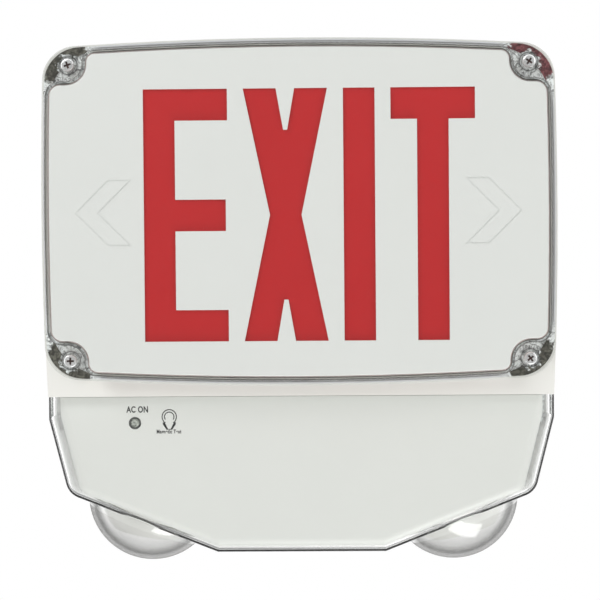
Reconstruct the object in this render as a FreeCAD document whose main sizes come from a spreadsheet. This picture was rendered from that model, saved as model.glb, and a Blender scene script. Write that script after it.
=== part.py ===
import FreeCAD, Part

import math
import os

import Sketcher

# Emergency exit light: a white wall box with a clear sign cover over a red EXIT stencil,
# and below it a clear shell whose two domes hold turning lamp heads.
# X runs to the right, Z up and the front faces -Y; the wall plane is y = 0.
# Depths are counted forward from the wall, heights from the middle of the letters.

doc = FreeCAD.newDocument("emergency_exit_light")

# ---------------------------------------------------------------- driving dimensions
DIMENSIONS = (
    ("cover_half_wide", 157.0, "half width of the sign cover at mid height"),
    ("cover_half_tall", 105.6, "half height of the sign cover at its middle"),
    ("cover_rise", 1.8, "middle of the cover above the middle of the letters"),
    ("side_bow", 2600.0, "radius of the bowed left and right sides"),
    ("end_bow", 2300.0, "radius of the bowed top and bottom"),
    ("corner_round", 21.0, "corner radius of the cover"),
    ("box_deep", 90.0, "wall to the rim of the white box"),
    ("box_wall", 4.4, "side walls of the white box"),
    ("back_thick", 4.0, "back plate of the white box"),
    ("band_tall", 6.8, "thick band of the white box below the sign cover"),
    ("seal_thick", 1.2, "thickness of the gaskets"),
    ("flange_thick", 3.0, "flange of the sign cover"),
    ("total_deep", 112.0, "wall to the front of the sign cover"),
    ("clear_wall", 2.0, "raised wall of the sign cover"),
    ("clear_front", 2.5, "front face of the sign cover"),
    ("raise_inset", 3.8, "raised wall in from the flange edge"),
    ("screw_in", 17.0, "cover screws in from the cover's sides"),
    ("screw_end", 11.34, "cover screws in from the bowed top and bottom"),
    ("notch_base", 6.5, "corner notch radius where the inset is nothing"),
    ("swell_side", 12.8, "rounding beside a notch where the inset is nothing"),
    ("swell_end", 11.3, "rounding above a notch where the inset is nothing"),
    ("letter_tall", 152.4, "height of the letters, six inches"),
    ("word_shift", 6.7, "middle of the word to the right of the middle"),
    ("plate_gap", 5.0, "front of the cover to the front of the stencil"),
    ("plate_thick", 2.0, "stencil face and diffuser thickness"),
    ("plate_skirt", 13.0, "depth of the stencil's turned back edge"),
    ("plate_inset", 6.2, "stencil in from the flange edge"),
    ("arrow_in", 22.0, "tip of the arrow knock-outs in from the cover's sides"),
    ("arrow_half", 20.0, "half height of the arrow knock-outs"),
    ("arrow_band", 14.5, "width of the arrow knock-outs' arms"),
    ("score_wide", 0.8, "width of the knock-out scores"),
    ("score_deep", 0.4, "depth of the knock-out scores"),
    ("tray_deep", 22.0, "rim of the box back to the light tray's floor"),
    ("post_in", 45.0, "tray posts in from the cover's sides"),
    ("post_end", 39.6, "tray posts in from the cover's top and bottom"),
    ("entry_radius", 11.1, "wire entry, half inch knock-out"),
    ("wall_hole_up", 44.45, "wall screw holes from the middle, up and down"),
    ("wall_hole_radius", 2.4, "wall screw holes"),
    ("shell_in", 2.0, "lower shell in from the cover's sides"),
    ("ear_drop", 14.4, "white box down to where the shell's sides start to lean in"),
    ("shell_lean", 14.3, "lean of the shell's sides, degrees"),
    ("knee_drop", 60.2, "white box down to where sides and slanted floor would meet"),
    ("floor_lean", 21.55, "slant of the floor that carries the domes, degrees"),
    ("low_drop", 96.4, "white box down to the shell's flat floor"),
    ("shell_deep", 87.0, "wall to the front of the shell"),
    ("shell_wall", 2.4, "wall of the lower shell and domes"),
    ("shell_round", 12.0, "knee radius of the shell"),
    ("shell_edge", 5.4, "rounded front edge of the shell"),
    ("dome_in", 61.0, "dome centres in from the shell's sides"),
    ("dome_drop", 64.7, "white box down to the dome centres"),
    ("dome_deep", 46.0, "dome centres from the wall"),
    ("dome_radius", 40.2, "outside radius of a dome"),
    ("pilot_in", 53.1, "pilot light in from the shell's side"),
    ("pilot_drop", 16.6, "pilot light below the white box"),
    ("inner_side", 7.2, "inner cover in from the shell's sides"),
    ("inner_floor", 2.8, "inner cover in from the shell's floor"),
    ("inner_wall", 2.0, "wall of the inner cover"),
    ("inner_deep", 83.6, "wall to the front of the inner cover"),
    ("inner_edge", 6.0, "rounded front edge of the inner cover"),
    ("ball_radius", 32.0, "lamp ball"),
    ("ball_mouth", 24.0, "mouth plane from the ball's centre"),
    ("ball_gap", 0.4, "air round a lamp ball"),
    ("pin_radius", 2.0, "lamp pivot pins"),
    ("stem_radius", 6.0, "bore the lamp stem turns in"),
    ("turn_gap", 0.05, "play of a turning fit"),
    ("left_aim", 10.6, "left lamp's aim from straight down, degrees"),
    ("right_aim", 15.5, "right lamp's aim from straight down, degrees"),
    ("loose", 0.3, "small clearance between neighbours"),
    ("board_thick", 1.6, "circuit boards"),
)

sheet = doc.addObject("Spreadsheet::Sheet", "Sizes")
for row, (alias, value, note) in enumerate(DIMENSIONS, start=1):
    sheet.set("A%d" % row, note)
    sheet.set("B%d" % row, str(value))
    sheet.setAlias("B%d" % row, alias)
doc.recompute()


class Size:
    """A dimension: its number, and the sheet formula it comes from."""

    def __init__(self, number, formula):
        self.number = float(number)
        self.formula = formula

    def __add__(self, other):
        other = size(other)
        return Size(self.number + other.number, "(%s + %s)" % (self.formula, other.formula))

    def __sub__(self, other):
        other = size(other)
        return Size(self.number - other.number, "(%s - %s)" % (self.formula, other.formula))

    def __mul__(self, other):
        other = size(other)
        return Size(self.number * other.number, "(%s * %s)" % (self.formula, other.formula))

    def __truediv__(self, other):
        other = size(other)
        return Size(self.number / other.number, "(%s / %s)" % (self.formula, other.formula))

    def __neg__(self):
        return Size(-self.number, "(0 - %s)" % self.formula)

    __radd__ = __add__
    __rmul__ = __mul__

    def __rsub__(self, other):
        return size(other) - self

    def root(self):
        return Size(math.sqrt(self.number), "sqrt(%s)" % self.formula)

    def sine(self):
        return Size(math.sin(math.radians(self.number)), "sin(%s)" % self.formula)

    def cosine(self):
        return Size(math.cos(math.radians(self.number)), "cos(%s)" % self.formula)

    def tangent(self):
        return Size(math.tan(math.radians(self.number)), "tan(%s)" % self.formula)


def size(value):
    """Any number as a Size."""
    if isinstance(value, Size):
        return value
    return Size(value, repr(float(value)))


D = {alias: Size(value, "Sizes." + alias) for alias, value, note in DIMENSIONS}

# Places that follow from the driving dimensions.
D["band_low"] = D["cover_half_tall"] - D["cover_rise"] + D["band_tall"]
D["shell_ear"] = D["band_low"] + D["ear_drop"]
D["shell_knee"] = D["band_low"] + D["knee_drop"]
D["shell_low"] = D["band_low"] + D["low_drop"]
D["dome_down"] = D["band_low"] + D["dome_drop"]
D["screw_across"] = D["cover_half_wide"] - D["screw_in"]
screw_bow = D["screw_across"] * D["screw_across"] / (D["end_bow"] * 2)
D["screw_up"] = D["cover_half_tall"] - screw_bow - D["screw_end"]
D["plate_front"] = D["total_deep"] - D["plate_gap"]
D["arrow_tip"] = D["cover_half_wide"] - D["arrow_in"]
D["tray_back"] = D["box_deep"] - D["tray_deep"]
D["post_across"] = D["cover_half_wide"] - D["post_in"]
D["post_up"] = D["cover_half_tall"] - D["post_end"]
D["shell_half"] = D["cover_half_wide"] - D["shell_in"]
D["dome_across"] = D["shell_half"] - D["dome_in"]


def bind(thing, prop, value):
    """Tie one property to the sheet."""
    thing.setExpression(prop, size(value).formula)


# ---------------------------------------------------------------- bodies and sketches
PIECES = []


def new_body(label, several=False):
    body = doc.addObject("PartDesign::Body", label)
    body.Label = label
    body.Placement = FreeCAD.Placement()
    body.AllowCompound = several
    PIECES.append(body)
    return body


def place(body, across, deep, up, turn=0.0):
    """Put a body at a spot, turned about the front-to-back axis."""
    body.Placement = FreeCAD.Placement(
        FreeCAD.Vector(size(across).number, -size(deep).number, size(up).number),
        FreeCAD.Rotation(FreeCAD.Vector(0, 1, 0), size(turn).number),
    )
    bind(body, "Placement.Base.x", across)
    bind(body, "Placement.Base.y", -size(deep))
    bind(body, "Placement.Base.z", up)
    if isinstance(turn, Size):
        bind(body, "Placement.Rotation.Angle", turn)


def new_sketch(body, name, depth=0.0, role="XZ_Plane"):
    """A sketch seen from the front, this far forward of the wall (or on another plane)."""
    found = [face for face in body.Origin.OriginFeatures if face.Role == role]
    drawing = body.newObject("Sketcher::SketchObject", name)
    drawing.AttachmentSupport = (found[0], [""])
    drawing.MapMode = "FlatFace"
    if size(depth).number:
        bind(drawing, "AttachmentOffset.Base.z", depth)
    return drawing


def fix_point(drawing, shape, point, x, y):
    for kind, value in (("DistanceX", x), ("DistanceY", y)):
        index = drawing.addConstraint(Sketcher.Constraint(kind, shape, point, size(value).number))
        drawing.setExpression("Constraints[%d]" % index, size(value).formula)


def fix_radius(drawing, shape, radius):
    index = drawing.addConstraint(Sketcher.Constraint("Radius", shape, size(radius).number))
    drawing.setExpression("Constraints[%d]" % index, size(radius).formula)


def draw_loop(drawing, corners, bends=None):
    """A closed outline; a bend is a radius, positive when the outline bulges outward."""
    count = len(corners)
    bends = bends or [None] * count
    first = drawing.GeometryCount
    for number, (corner, bend) in enumerate(zip(corners, bends)):
        following = corners[(number + 1) % count]
        start = FreeCAD.Vector(size(corner[0]).number, size(corner[1]).number, 0)
        end = FreeCAD.Vector(size(following[0]).number, size(following[1]).number, 0)
        if bend is None:
            drawing.addGeometry(Part.LineSegment(start, end), False)
            continue
        if size(bend).number < 0:
            start, end = end, start
        radius = abs(size(bend).number)
        chord = end.sub(start)
        half = chord.Length / 2.0
        rise = math.sqrt(max(radius * radius - half * half, 0.0))
        side = FreeCAD.Vector(-chord.y, chord.x, 0).normalize()
        centre = start.add(chord * 0.5).add(side * rise)
        begin = math.atan2(start.y - centre.y, start.x - centre.x)
        stop = math.atan2(end.y - centre.y, end.x - centre.x)
        circle = Part.Circle(centre, FreeCAD.Vector(0, 0, 1), radius)
        drawing.addGeometry(Part.ArcOfCircle(circle, begin, stop), False)
    for number, bend in enumerate(bends):
        shape = first + number
        inward = bend is not None and size(bend).number < 0
        before = bends[number - 1]
        before_inward = before is not None and size(before).number < 0
        fix_point(drawing, shape, 2 if inward else 1, *corners[number])
        previous = first + (number - 1) % count
        drawing.addConstraint(Sketcher.Constraint(
            "Coincident", previous, 1 if before_inward else 2, shape, 2 if inward else 1))
        if bend is not None:
            fix_radius(drawing, shape, -size(bend) if inward else bend)


def draw_box(drawing, x_low, y_low, x_high, y_high):
    draw_loop(drawing, [(x_low, y_low), (x_high, y_low), (x_high, y_high), (x_low, y_high)])


def draw_circle(drawing, x, y, radius):
    centre = FreeCAD.Vector(size(x).number, size(y).number, 0)
    circle = Part.Circle(centre, FreeCAD.Vector(0, 0, 1), size(radius).number)
    shape = drawing.addGeometry(circle, False)
    fix_point(drawing, shape, 3, x, y)
    fix_radius(drawing, shape, radius)


def pad(body, drawing, length):
    """Raise a sketch along its own normal, forward for one seen from the front."""
    feature = body.newObject("PartDesign::Pad", "Pad_" + drawing.Name)
    feature.Profile = drawing
    bind(feature, "Length", length)
    return feature


def cut(body, drawing, length, forward=True):
    """Cut a sketch, forward of its plane or back from it, and make sure it cut."""
    doc.recompute()
    before = body.Shape.Volume
    feature = body.newObject("PartDesign::Pocket", "Cut_" + drawing.Name)
    feature.Profile = drawing
    feature.Reversed = forward
    bind(feature, "Length", length)
    doc.recompute()
    if body.Shape.Volume > before - 0.01:
        raise RuntimeError("nothing was cut by " + drawing.Name)
    return feature


def spin(body, drawing):
    """Turn a half profile round the body's Z axis."""
    feature = body.newObject("PartDesign::Revolution", "Turn_" + drawing.Name)
    feature.Profile = drawing
    feature.ReferenceAxis = (drawing, ["V_Axis"])
    feature.Angle = 360.0
    return feature


def round_edges(body, chosen, radius, name):
    """Fillet the edges of the body's present shape that a test picks."""
    doc.recompute()
    names = [
        "Edge%d" % (number + 1)
        for number, edge in enumerate(body.Shape.Edges)
        if chosen(edge)
    ]
    if not names:
        raise RuntimeError("no edges to round for " + name)
    base = body.Tip
    feature = body.newObject("PartDesign::Fillet", name)
    feature.Base = (base, names)
    bind(feature, "Radius", radius)
    doc.recompute()
    return feature


def front_to_back(edge):
    """True for an edge that runs straight from front to back."""
    low, high = edge.Vertexes[0].Point, edge.Vertexes[-1].Point
    across = math.hypot(low.x - high.x, low.z - high.z)
    return across < 0.01 and abs(low.y - high.y) > 0.01


def at_depth(edge, depth):
    """True for an edge that lies wholly this far forward of the wall."""
    box = edge.BoundBox
    return abs(box.YMin + depth) < 0.01 and abs(box.YMax + depth) < 0.01


# ---------------------------------------------------------------- the outlines
def mirrored(right, bends, over, under):
    """A closed outline from its right half, which runs from bottom to top."""
    left = [(-size(x), z) for x, z in reversed(right)]
    return right + left, bends + [over] + list(reversed(bends)) + [under]


def side_edge(inset, height):
    """Where the bowed side stands at a height above the cover's middle."""
    return D["cover_half_wide"] - inset - height * height / (D["side_bow"] * 2)


def end_edge(inset, across):
    """How high the bowed top stands above the cover's middle."""
    return D["cover_half_tall"] - inset - across * across / (D["end_bow"] * 2)


def rounded_quarter(inset, extra=0.0):
    """The top right corner of the cover's outline, as two points and a radius."""
    radius = D["corner_round"] - inset + extra
    reach = D["cover_half_tall"] - inset - radius
    width = D["cover_half_wide"] - inset - radius
    centre_x = side_edge(inset, reach) - radius
    centre_z = end_edge(inset, width) - radius
    start = (centre_x + radius, centre_z + radius * centre_z / D["side_bow"])
    stop = (centre_x + radius * centre_x / D["end_bow"], centre_z + radius)
    return start, stop, radius


def rounded(inset, extra=0.0):
    """The cover's bowed outline; the corners may be this much rounder than the cover's own."""
    start, stop, radius = rounded_quarter(inset, extra)
    rise = D["cover_rise"]
    right = [
        (stop[0], rise - stop[1]),
        (start[0], rise - start[1]),
        (start[0], rise + start[1]),
        (stop[0], rise + stop[1]),
    ]
    return mirrored(right, [radius, D["side_bow"], radius], D["end_bow"], D["end_bow"])


def box_outline():
    """The white box: the cover's outline above, square to the band below."""
    start, stop, radius = rounded_quarter(size(0))
    rise = D["cover_rise"]
    right = [
        (side_edge(size(0), D["band_low"] + rise), -D["band_low"]),
        (start[0], rise + start[1]),
        (stop[0], rise + stop[1]),
    ]
    return mirrored(right, [D["side_bow"], radius], D["end_bow"], None)


def blend(half, bow, reach, radius):
    """Where an arc touches a straight wall at a reach, and where it touches the bowed edge.

    Gives the wall point's height, then the edge point's reach and height.
    """
    far = bow - radius
    along = reach - radius
    rise = (far * far - along * along).root()
    scale = bow / far
    return half - bow + rise, along * scale, half - bow + rise * scale


def notched(inset):
    """The bowed outline with a round notch about each cover screw."""
    notch = D["notch_base"] + inset
    beside = D["swell_side"] - inset
    above = D["swell_end"] - inset
    level = D["screw_up"] - notch
    edge = D["screw_across"] - notch
    wall_x, side_z, side_x = blend(D["cover_half_wide"] - inset, D["side_bow"], level, beside)
    wall_z, top_x, top_z = blend(D["cover_half_tall"] - inset, D["end_bow"], edge, above)
    rise = D["cover_rise"]
    quarter = [
        (side_x, side_z),
        (wall_x, level),
        (D["screw_across"], level),
        (edge, D["screw_up"]),
        (edge, wall_z),
        (top_x, top_z),
    ]
    bends = [beside, None, -notch, None, above]
    below = [(x, rise - z) for x, z in reversed(quarter)]
    right = below + [(x, rise + z) for x, z in quarter]
    return mirrored(right, bends[::-1] + [D["side_bow"]] + bends, D["end_bow"], D["end_bow"])


def lower_outline(side_in, floor_in, top, radius):
    """The lower section: upright ears, leaning sides, a slanted and a flat floor."""
    lean = D["shell_lean"]
    slant = D["floor_lean"]
    ear = D["shell_ear"] - side_in * (lean / 2).tangent()
    knee_across = D["shell_half"] - (D["shell_knee"] - D["shell_ear"]) * lean.tangent()
    run = (D["shell_low"] - D["shell_knee"]) / slant.tangent()
    flat = knee_across - run - floor_in * (slant / 2).tangent()
    spread = (lean + slant).cosine()
    knee_x = knee_across - (side_in * slant.cosine() - floor_in * lean.sine()) / spread
    knee_z = D["shell_knee"] - (floor_in * lean.cosine() - side_in * slant.sine()) / spread
    reach = radius * ((90 - lean - slant) / 2).tangent()
    right = [
        (flat, -(D["shell_low"] - floor_in)),
        (knee_x - reach * slant.cosine(), -(knee_z + reach * slant.sine())),
        (knee_x + reach * lean.sine(), -(knee_z - reach * lean.cosine())),
        (D["shell_half"] - side_in, -ear),
        (D["shell_half"] - side_in, -size(top)),
    ]
    return mirrored(right, [None, radius, None, None], None, None)


# ---------------------------------------------------------------- the white box
def sides():
    """Each side in turn: its name, its sign and its lamp's aim from straight down."""
    return (("left", -1, D["left_aim"]), ("right", 1, D["right_aim"]))


def lamp_spot(sign, sideways, inward):
    """A spot in a lamp's own frame, seen from the front: sideways, and in along its axis."""
    slant = D["floor_lean"]
    across = D["dome_across"] + sideways * slant.cosine() - inward * slant.sine()
    up = sideways * slant.sine() + inward * slant.cosine() - D["dome_down"]
    return across * sign, up


box = new_body("back_housing")
outline = new_sketch(box, "BoxOutline")
draw_loop(outline, *box_outline())
pad(box, outline, D["box_deep"])

lower = new_sketch(box, "LowerPlate")
draw_loop(lower, *lower_outline(size(0), size(0), D["band_low"] - 1, D["shell_round"]))
pad(box, lower, D["back_thick"])

hollow = new_sketch(box, "BoxHollow", D["box_deep"])
draw_loop(hollow, *notched(D["box_wall"]))
cut(box, hollow, D["box_deep"] - D["back_thick"], forward=False)

# The thick band below the cover is cored from underneath.
core = new_sketch(box, "BandCore", D["back_thick"])
draw_box(core, -D["screw_across"], -(D["band_low"] + 1), D["screw_across"], -(D["band_low"] - 7))
cut(box, core, D["box_deep"] - D["back_thick"] - 8)

# A passage for the wires from the box down to the lamps.
passage = new_sketch(box, "WirePassage", D["back_thick"] + 8)
draw_box(passage, -12, -(D["band_low"] - 5), 12, -(D["band_low"] - 16))
cut(box, passage, 16)

TRAY_POSTS = [(x, z) for x in (-1, 1) for z in (-1, 1)]


def post_spot(x, z):
    return D["post_across"] * x, D["cover_rise"] + D["post_up"] * z


posts = new_sketch(box, "TrayPosts", D["back_thick"] - 0.5)
for x, z in TRAY_POSTS:
    draw_circle(posts, *post_spot(x, z), 5.0)
pad(box, posts, D["tray_back"] - 2 - D["back_thick"] + 0.5)

# Low bosses carry the driver board and the battery strap.
board_left = 51 - D["cover_half_wide"]
board_right = board_left + 86
board_low, board_high = size(-50), size(50)
BOARD_SPOTS = [
    (board_left + 5, board_low + 5), (board_right - 5, board_low + 5),
    (board_left + 5, board_high - 5), (board_right - 5, board_high - 5),
]
battery_left = board_right + 40
battery_right = battery_left + 80
battery_low, battery_high = size(-36), size(30)
battery_middle = (battery_left + battery_right) / 2
STRAP_SPOTS = [(battery_middle, battery_low - 9), (battery_middle, battery_high + 9)]
standoff_top = D["back_thick"] + 8
bosses = new_sketch(box, "BoardBosses", D["back_thick"] - 0.5)
for spot in BOARD_SPOTS + STRAP_SPOTS:
    draw_circle(bosses, *spot, 3.5)
pad(box, bosses, 8.5)

# Short bosses carry the lamp brackets on the lower plate.
bracket_face = D["dome_deep"] - 39.5
bracket_bosses = new_sketch(box, "BracketBosses", D["back_thick"] - 0.5)
BRACKET_SCREWS = [
    lamp_spot(sign, sideways, size(26)) for name, sign, aim in sides() for sideways in (-8, 8)
]
for spot in BRACKET_SCREWS:
    draw_circle(bracket_bosses, *spot, 4.0)
pad(box, bracket_bosses, bracket_face - D["back_thick"] + 0.5)

wall_holes = new_sketch(box, "WallHoles")
draw_circle(wall_holes, 0, D["wall_hole_up"], D["wall_hole_radius"])
draw_circle(wall_holes, 0, -D["wall_hole_up"], D["wall_hole_radius"])
draw_circle(wall_holes, 0, 0, D["entry_radius"])
cut(box, wall_holes, D["back_thick"])

# Rear screws: four into the clear shell's bosses, three into the inner cover's legs.
shell_boss_low = D["shell_low"] - D["shell_wall"] - 3.2
shell_boss_across = D["shell_half"] - D["shell_wall"] - 4.6
shell_boss_ear = D["shell_ear"] + 5
SHELL_BOSSES = [
    (size(x) * shell_boss_across, -shell_boss_ear) for x in (-1, 1)
] + [(size(x), -shell_boss_low) for x in (-34, 34)]
leg_high, leg_low = -(D["band_low"] + 15.4), -(D["shell_low"] - 17)
INNER_LEGS = [(size(-34), leg_high), (size(34), leg_high), (size(0), leg_low)]
REAR_SCREWS = SHELL_BOSSES + INNER_LEGS
rear_holes = new_sketch(box, "RearHoles")
for spot in REAR_SCREWS:
    draw_circle(rear_holes, *spot, 1.7)
cut(box, rear_holes, D["back_thick"])
rear_sinks = new_sketch(box, "RearSinks")
for spot in REAR_SCREWS:
    draw_circle(rear_sinks, *spot, 3.3)
cut(box, rear_sinks, 2.2)

# Blind holes for the self-tapping screws.
COVER_SCREWS = [
    (D["screw_across"] * x, D["cover_rise"] + D["screw_up"] * z) for x, z in TRAY_POSTS
]
taps = new_sketch(box, "CoverTaps", D["box_deep"])
for spot in COVER_SCREWS:
    draw_circle(taps, *spot, 1.75)
cut(box, taps, 18, forward=False)
tray_taps = new_sketch(box, "TrayTaps", D["tray_back"] - 2)
for x, z in TRAY_POSTS:
    draw_circle(tray_taps, *post_spot(x, z), 1.45)
cut(box, tray_taps, 12, forward=False)
board_taps = new_sketch(box, "BoardTaps", standoff_top)
for spot in BOARD_SPOTS + STRAP_SPOTS:
    draw_circle(board_taps, *spot, 1.45)
cut(box, board_taps, 7, forward=False)
bracket_taps = new_sketch(box, "BracketTaps", bracket_face)
for spot in BRACKET_SCREWS:
    draw_circle(bracket_taps, *spot, 1.45)
cut(box, bracket_taps, bracket_face - 1.0, forward=False)


# ---------------------------------------------------------------- the sign
def screw_group(label, spots, seat, head_radius, head_thick, shank_radius, length, cross=True):
    """Pan head screws driven toward the wall, all alike, seated this far forward."""
    body = new_body(label, several=True)
    heads = new_sketch(body, label + "_heads", seat)
    for spot in spots:
        draw_circle(heads, *spot, head_radius)
    pad(body, heads, head_thick)
    shanks = new_sketch(body, label + "_shanks", seat - length)
    for spot in spots:
        draw_circle(shanks, *spot, shank_radius)
    pad(body, shanks, size(length) + head_thick / 2)
    if cross:
        slots = new_sketch(body, label + "_cross", size(seat) + head_thick)
        long, short = head_radius * 0.52, head_radius * 0.12
        for x, z in spots:
            x, z = size(x), size(z)
            draw_loop(slots, [
                (x - long, z - short), (x - short, z - short), (x - short, z - long),
                (x + short, z - long), (x + short, z - short), (x + long, z - short),
                (x + long, z + short), (x + short, z + short), (x + short, z + long),
                (x - short, z + long), (x - short, z + short), (x - long, z + short),
            ])
        cut(body, slots, size(head_thick) * 0.6, forward=False)
    return body


seal = new_body("cover_gasket")
seal_top = D["box_deep"] + D["seal_thick"]
ring = new_sketch(seal, "SealRing", D["box_deep"])
draw_loop(ring, *rounded(size(0.8), 2.3))
draw_loop(ring, *rounded(D["raise_inset"] - 0.6, 17.0))
pad(seal, ring, D["seal_thick"])
seal_holes = new_sketch(seal, "SealHoles", D["box_deep"])
for spot in COVER_SCREWS:
    draw_circle(seal_holes, *spot, 5.3)
cut(seal, seal_holes, D["seal_thick"])

cover = new_body("sign_cover")
flange_face = seal_top + D["flange_thick"]
flange = new_sketch(cover, "Flange", seal_top)
draw_loop(flange, *rounded(size(0)))
pad(cover, flange, D["flange_thick"])
collars = new_sketch(cover, "ScrewCollars", seal_top + 1)
for spot in COVER_SCREWS:
    draw_circle(collars, *spot, 5.0)
pad(cover, collars, D["flange_thick"] + 0.6)
wells = new_sketch(cover, "ScrewWells", flange_face)
for spot in COVER_SCREWS:
    draw_circle(wells, *spot, 4.3)
cut(cover, wells, 2)
raised = new_sketch(cover, "Raised", seal_top + 1)
draw_loop(raised, *notched(D["raise_inset"]))
pad(cover, raised, D["total_deep"] - seal_top - 1)
round_edges(cover, lambda edge: at_depth(edge, D["total_deep"].number), size(0.9), "CoverEdge")
inside = new_sketch(cover, "CoverHollow", seal_top)
draw_loop(inside, *notched(D["raise_inset"] + D["clear_wall"]))
cut(cover, inside, D["total_deep"] - D["clear_front"] - seal_top)
cover_holes = new_sketch(cover, "CoverHoles", seal_top)
for spot in COVER_SCREWS:
    draw_circle(cover_holes, *spot, 2.3)
cut(cover, cover_holes, D["flange_thick"])

screw_group("cover_screws", COVER_SCREWS, flange_face, size(4.0), size(2.4), size(1.7), size(19))

stencil = new_body("exit_stencil")
plate_back = D["plate_front"] - D["plate_thick"]
face = new_sketch(stencil, "StencilOutline", D["plate_front"] - D["plate_skirt"])
draw_loop(face, *notched(D["plate_inset"]))
pad(stencil, face, D["plate_skirt"])
round_edges(stencil, lambda edge: at_depth(edge, D["plate_front"].number), size(0.8), "StencilEdge")
behind = new_sketch(stencil, "StencilHollow", D["plate_front"] - D["plate_skirt"])
draw_loop(behind, *notched(D["plate_inset"] + 1.6))
cut(stencil, behind, D["plate_skirt"] - D["plate_thick"])

stroke = D["letter_tall"] / 8
letter_wide = D["letter_tall"] / 3
letter_gap = D["letter_tall"] / 16
half_tall = D["letter_tall"] / 2
word_left = D["word_shift"] - (letter_wide * 3 + stroke + letter_gap * 3) / 2
letters = new_sketch(stencil, "Letters", plate_back)


def letter_e(left):
    short = letter_wide - D["letter_tall"] * 0.008
    half = stroke / 2
    return [
        (left, -half_tall), (left + letter_wide, -half_tall),
        (left + letter_wide, -half_tall + stroke), (left + stroke, -half_tall + stroke),
        (left + stroke, -half), (left + short, -half), (left + short, half),
        (left + stroke, half), (left + stroke, half_tall - stroke),
        (left + letter_wide, half_tall - stroke), (left + letter_wide, half_tall),
        (left, half_tall),
    ]


def letter_x(left):
    middle = left + letter_wide / 2
    outer, inner = letter_wide / 2, letter_wide * 0.11
    waist, blunt, fork = stroke / 2, letter_wide * 0.024, half_tall * 0.672
    right = [
        (outer, -half_tall), (waist, size(0)), (outer, half_tall),
        (inner, half_tall), (blunt, fork),
    ]
    left_side = [(-x, z) for x, z in reversed(right)]
    foot = [(-inner, -half_tall), (-blunt, -fork), (blunt, -fork), (inner, -half_tall)]
    return [(middle + x, z) for x, z in right + left_side + foot]


def letter_i(left):
    return [
        (left, -half_tall), (left + stroke, -half_tall),
        (left + stroke, half_tall), (left, half_tall),
    ]


def letter_t(left):
    stem = left + (letter_wide - stroke) / 2
    return [
        (stem, -half_tall), (stem + stroke, -half_tall), (stem + stroke, half_tall - stroke),
        (left + letter_wide, half_tall - stroke), (left + letter_wide, half_tall),
        (left, half_tall), (left, half_tall - stroke), (stem, half_tall - stroke),
    ]


at = word_left
for shape, wide in (
    (letter_e, letter_wide), (letter_x, letter_wide), (letter_i, stroke), (letter_t, letter_wide)
):
    draw_loop(letters, shape(at))
    at = at + wide + letter_gap
cut(stencil, letters, D["plate_thick"])

arrows = new_sketch(stencil, "ArrowScores", D["plate_front"])
rise = D["cover_rise"]
for sign in (-1, 1):
    for inset in (size(0), D["score_wide"]):
        tip = D["arrow_tip"] - inset * math.sqrt(2)
        notch = D["arrow_tip"] - D["arrow_band"] + inset * math.sqrt(2)
        half = D["arrow_half"] - inset
        points = [(tip, size(0)), (tip - half, half), (notch - half, half),
                  (notch, size(0)), (notch - half, -half), (tip - half, -half)]
        draw_loop(arrows, [(x * sign, z + rise) for x, z in points])
cut(stencil, arrows, D["score_deep"], forward=False)

diffuser = new_body("red_diffuser")
red = new_sketch(diffuser, "Diffuser", plate_back - D["plate_thick"])
draw_loop(red, *notched(D["plate_inset"] + 2.0))
pad(diffuser, red, D["plate_thick"])

tray = new_body("light_tray")
tray_inset = D["plate_inset"] + 2.0
tray_front = plate_back - D["plate_thick"]
floor_back = D["tray_back"] - 2
tray_shape = new_sketch(tray, "TrayOutline", floor_back)
draw_loop(tray_shape, *notched(tray_inset))
pad(tray, tray_shape, tray_front - floor_back)
tray_hollow = new_sketch(tray, "TrayHollow", D["tray_back"])
draw_loop(tray_hollow, *notched(tray_inset + 1.8))
cut(tray, tray_hollow, tray_front - D["tray_back"])
tray_holes = new_sketch(tray, "TrayHoles", floor_back)
for x, z in TRAY_POSTS:
    draw_circle(tray_holes, *post_spot(x, z), 1.9)
draw_circle(tray_holes, 0, 86, 4.0)
cut(tray, tray_holes, 2)

screw_group("tray_screws", [post_spot(x, z) for x, z in TRAY_POSTS], D["tray_back"],
            size(3.2), size(1.8), size(1.4), size(11))

# Two LED strips lie along the top and bottom of the tray's floor.
strip_half_long = D["post_across"] - 2
strip_up = D["post_up"] + 17
for label, sign in (("led_strip_top", 1), ("led_strip_bottom", -1)):
    strip = new_body(label)
    drawing = new_sketch(strip, label + "_board", D["tray_back"])
    middle = D["cover_rise"] + strip_up * sign
    draw_box(drawing, -strip_half_long, middle - 5, strip_half_long, middle + 5)
    pad(strip, drawing, D["board_thick"])

chips = new_body("sign_leds", several=True)
drawing = new_sketch(chips, "LedChips", D["tray_back"] + D["board_thick"])
LED_COUNT = 9
for sign in (-1, 1):
    for number in range(LED_COUNT):
        x = strip_half_long * (2.0 * number / (LED_COUNT - 1) - 1) * 0.92
        z = D["cover_rise"] + strip_up * sign
        draw_box(drawing, x - 2.5, z - 2.5, x + 2.5, z + 2.5)
pad(chips, drawing, 1.4)


# ---------------------------------------------------------------- inside the white box
board = new_body("driver_board")
plate = new_sketch(board, "BoardPlate", standoff_top)
draw_box(plate, board_left, board_low, board_right, board_high)
pad(board, plate, D["board_thick"])
holes = new_sketch(board, "BoardHoles", standoff_top)
for spot in BOARD_SPOTS:
    draw_circle(holes, *spot, 1.8)
cut(board, holes, D["board_thick"])
board_face = standoff_top + D["board_thick"]

screw_group("board_screws", BOARD_SPOTS, board_face, size(2.9), size(1.6), size(1.4), size(7.6))

core_piece = new_body("transformer")
laminations = new_sketch(core_piece, "Laminations", board_face)
draw_box(laminations, board_left + 14, -24, board_left + 54, 10)
pad(core_piece, laminations, 34)
bobbin = new_sketch(core_piece, "Bobbin", board_face + 6)
draw_box(bobbin, board_left + 20, -32, board_left + 48, 18)
pad(core_piece, bobbin, 22)

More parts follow.
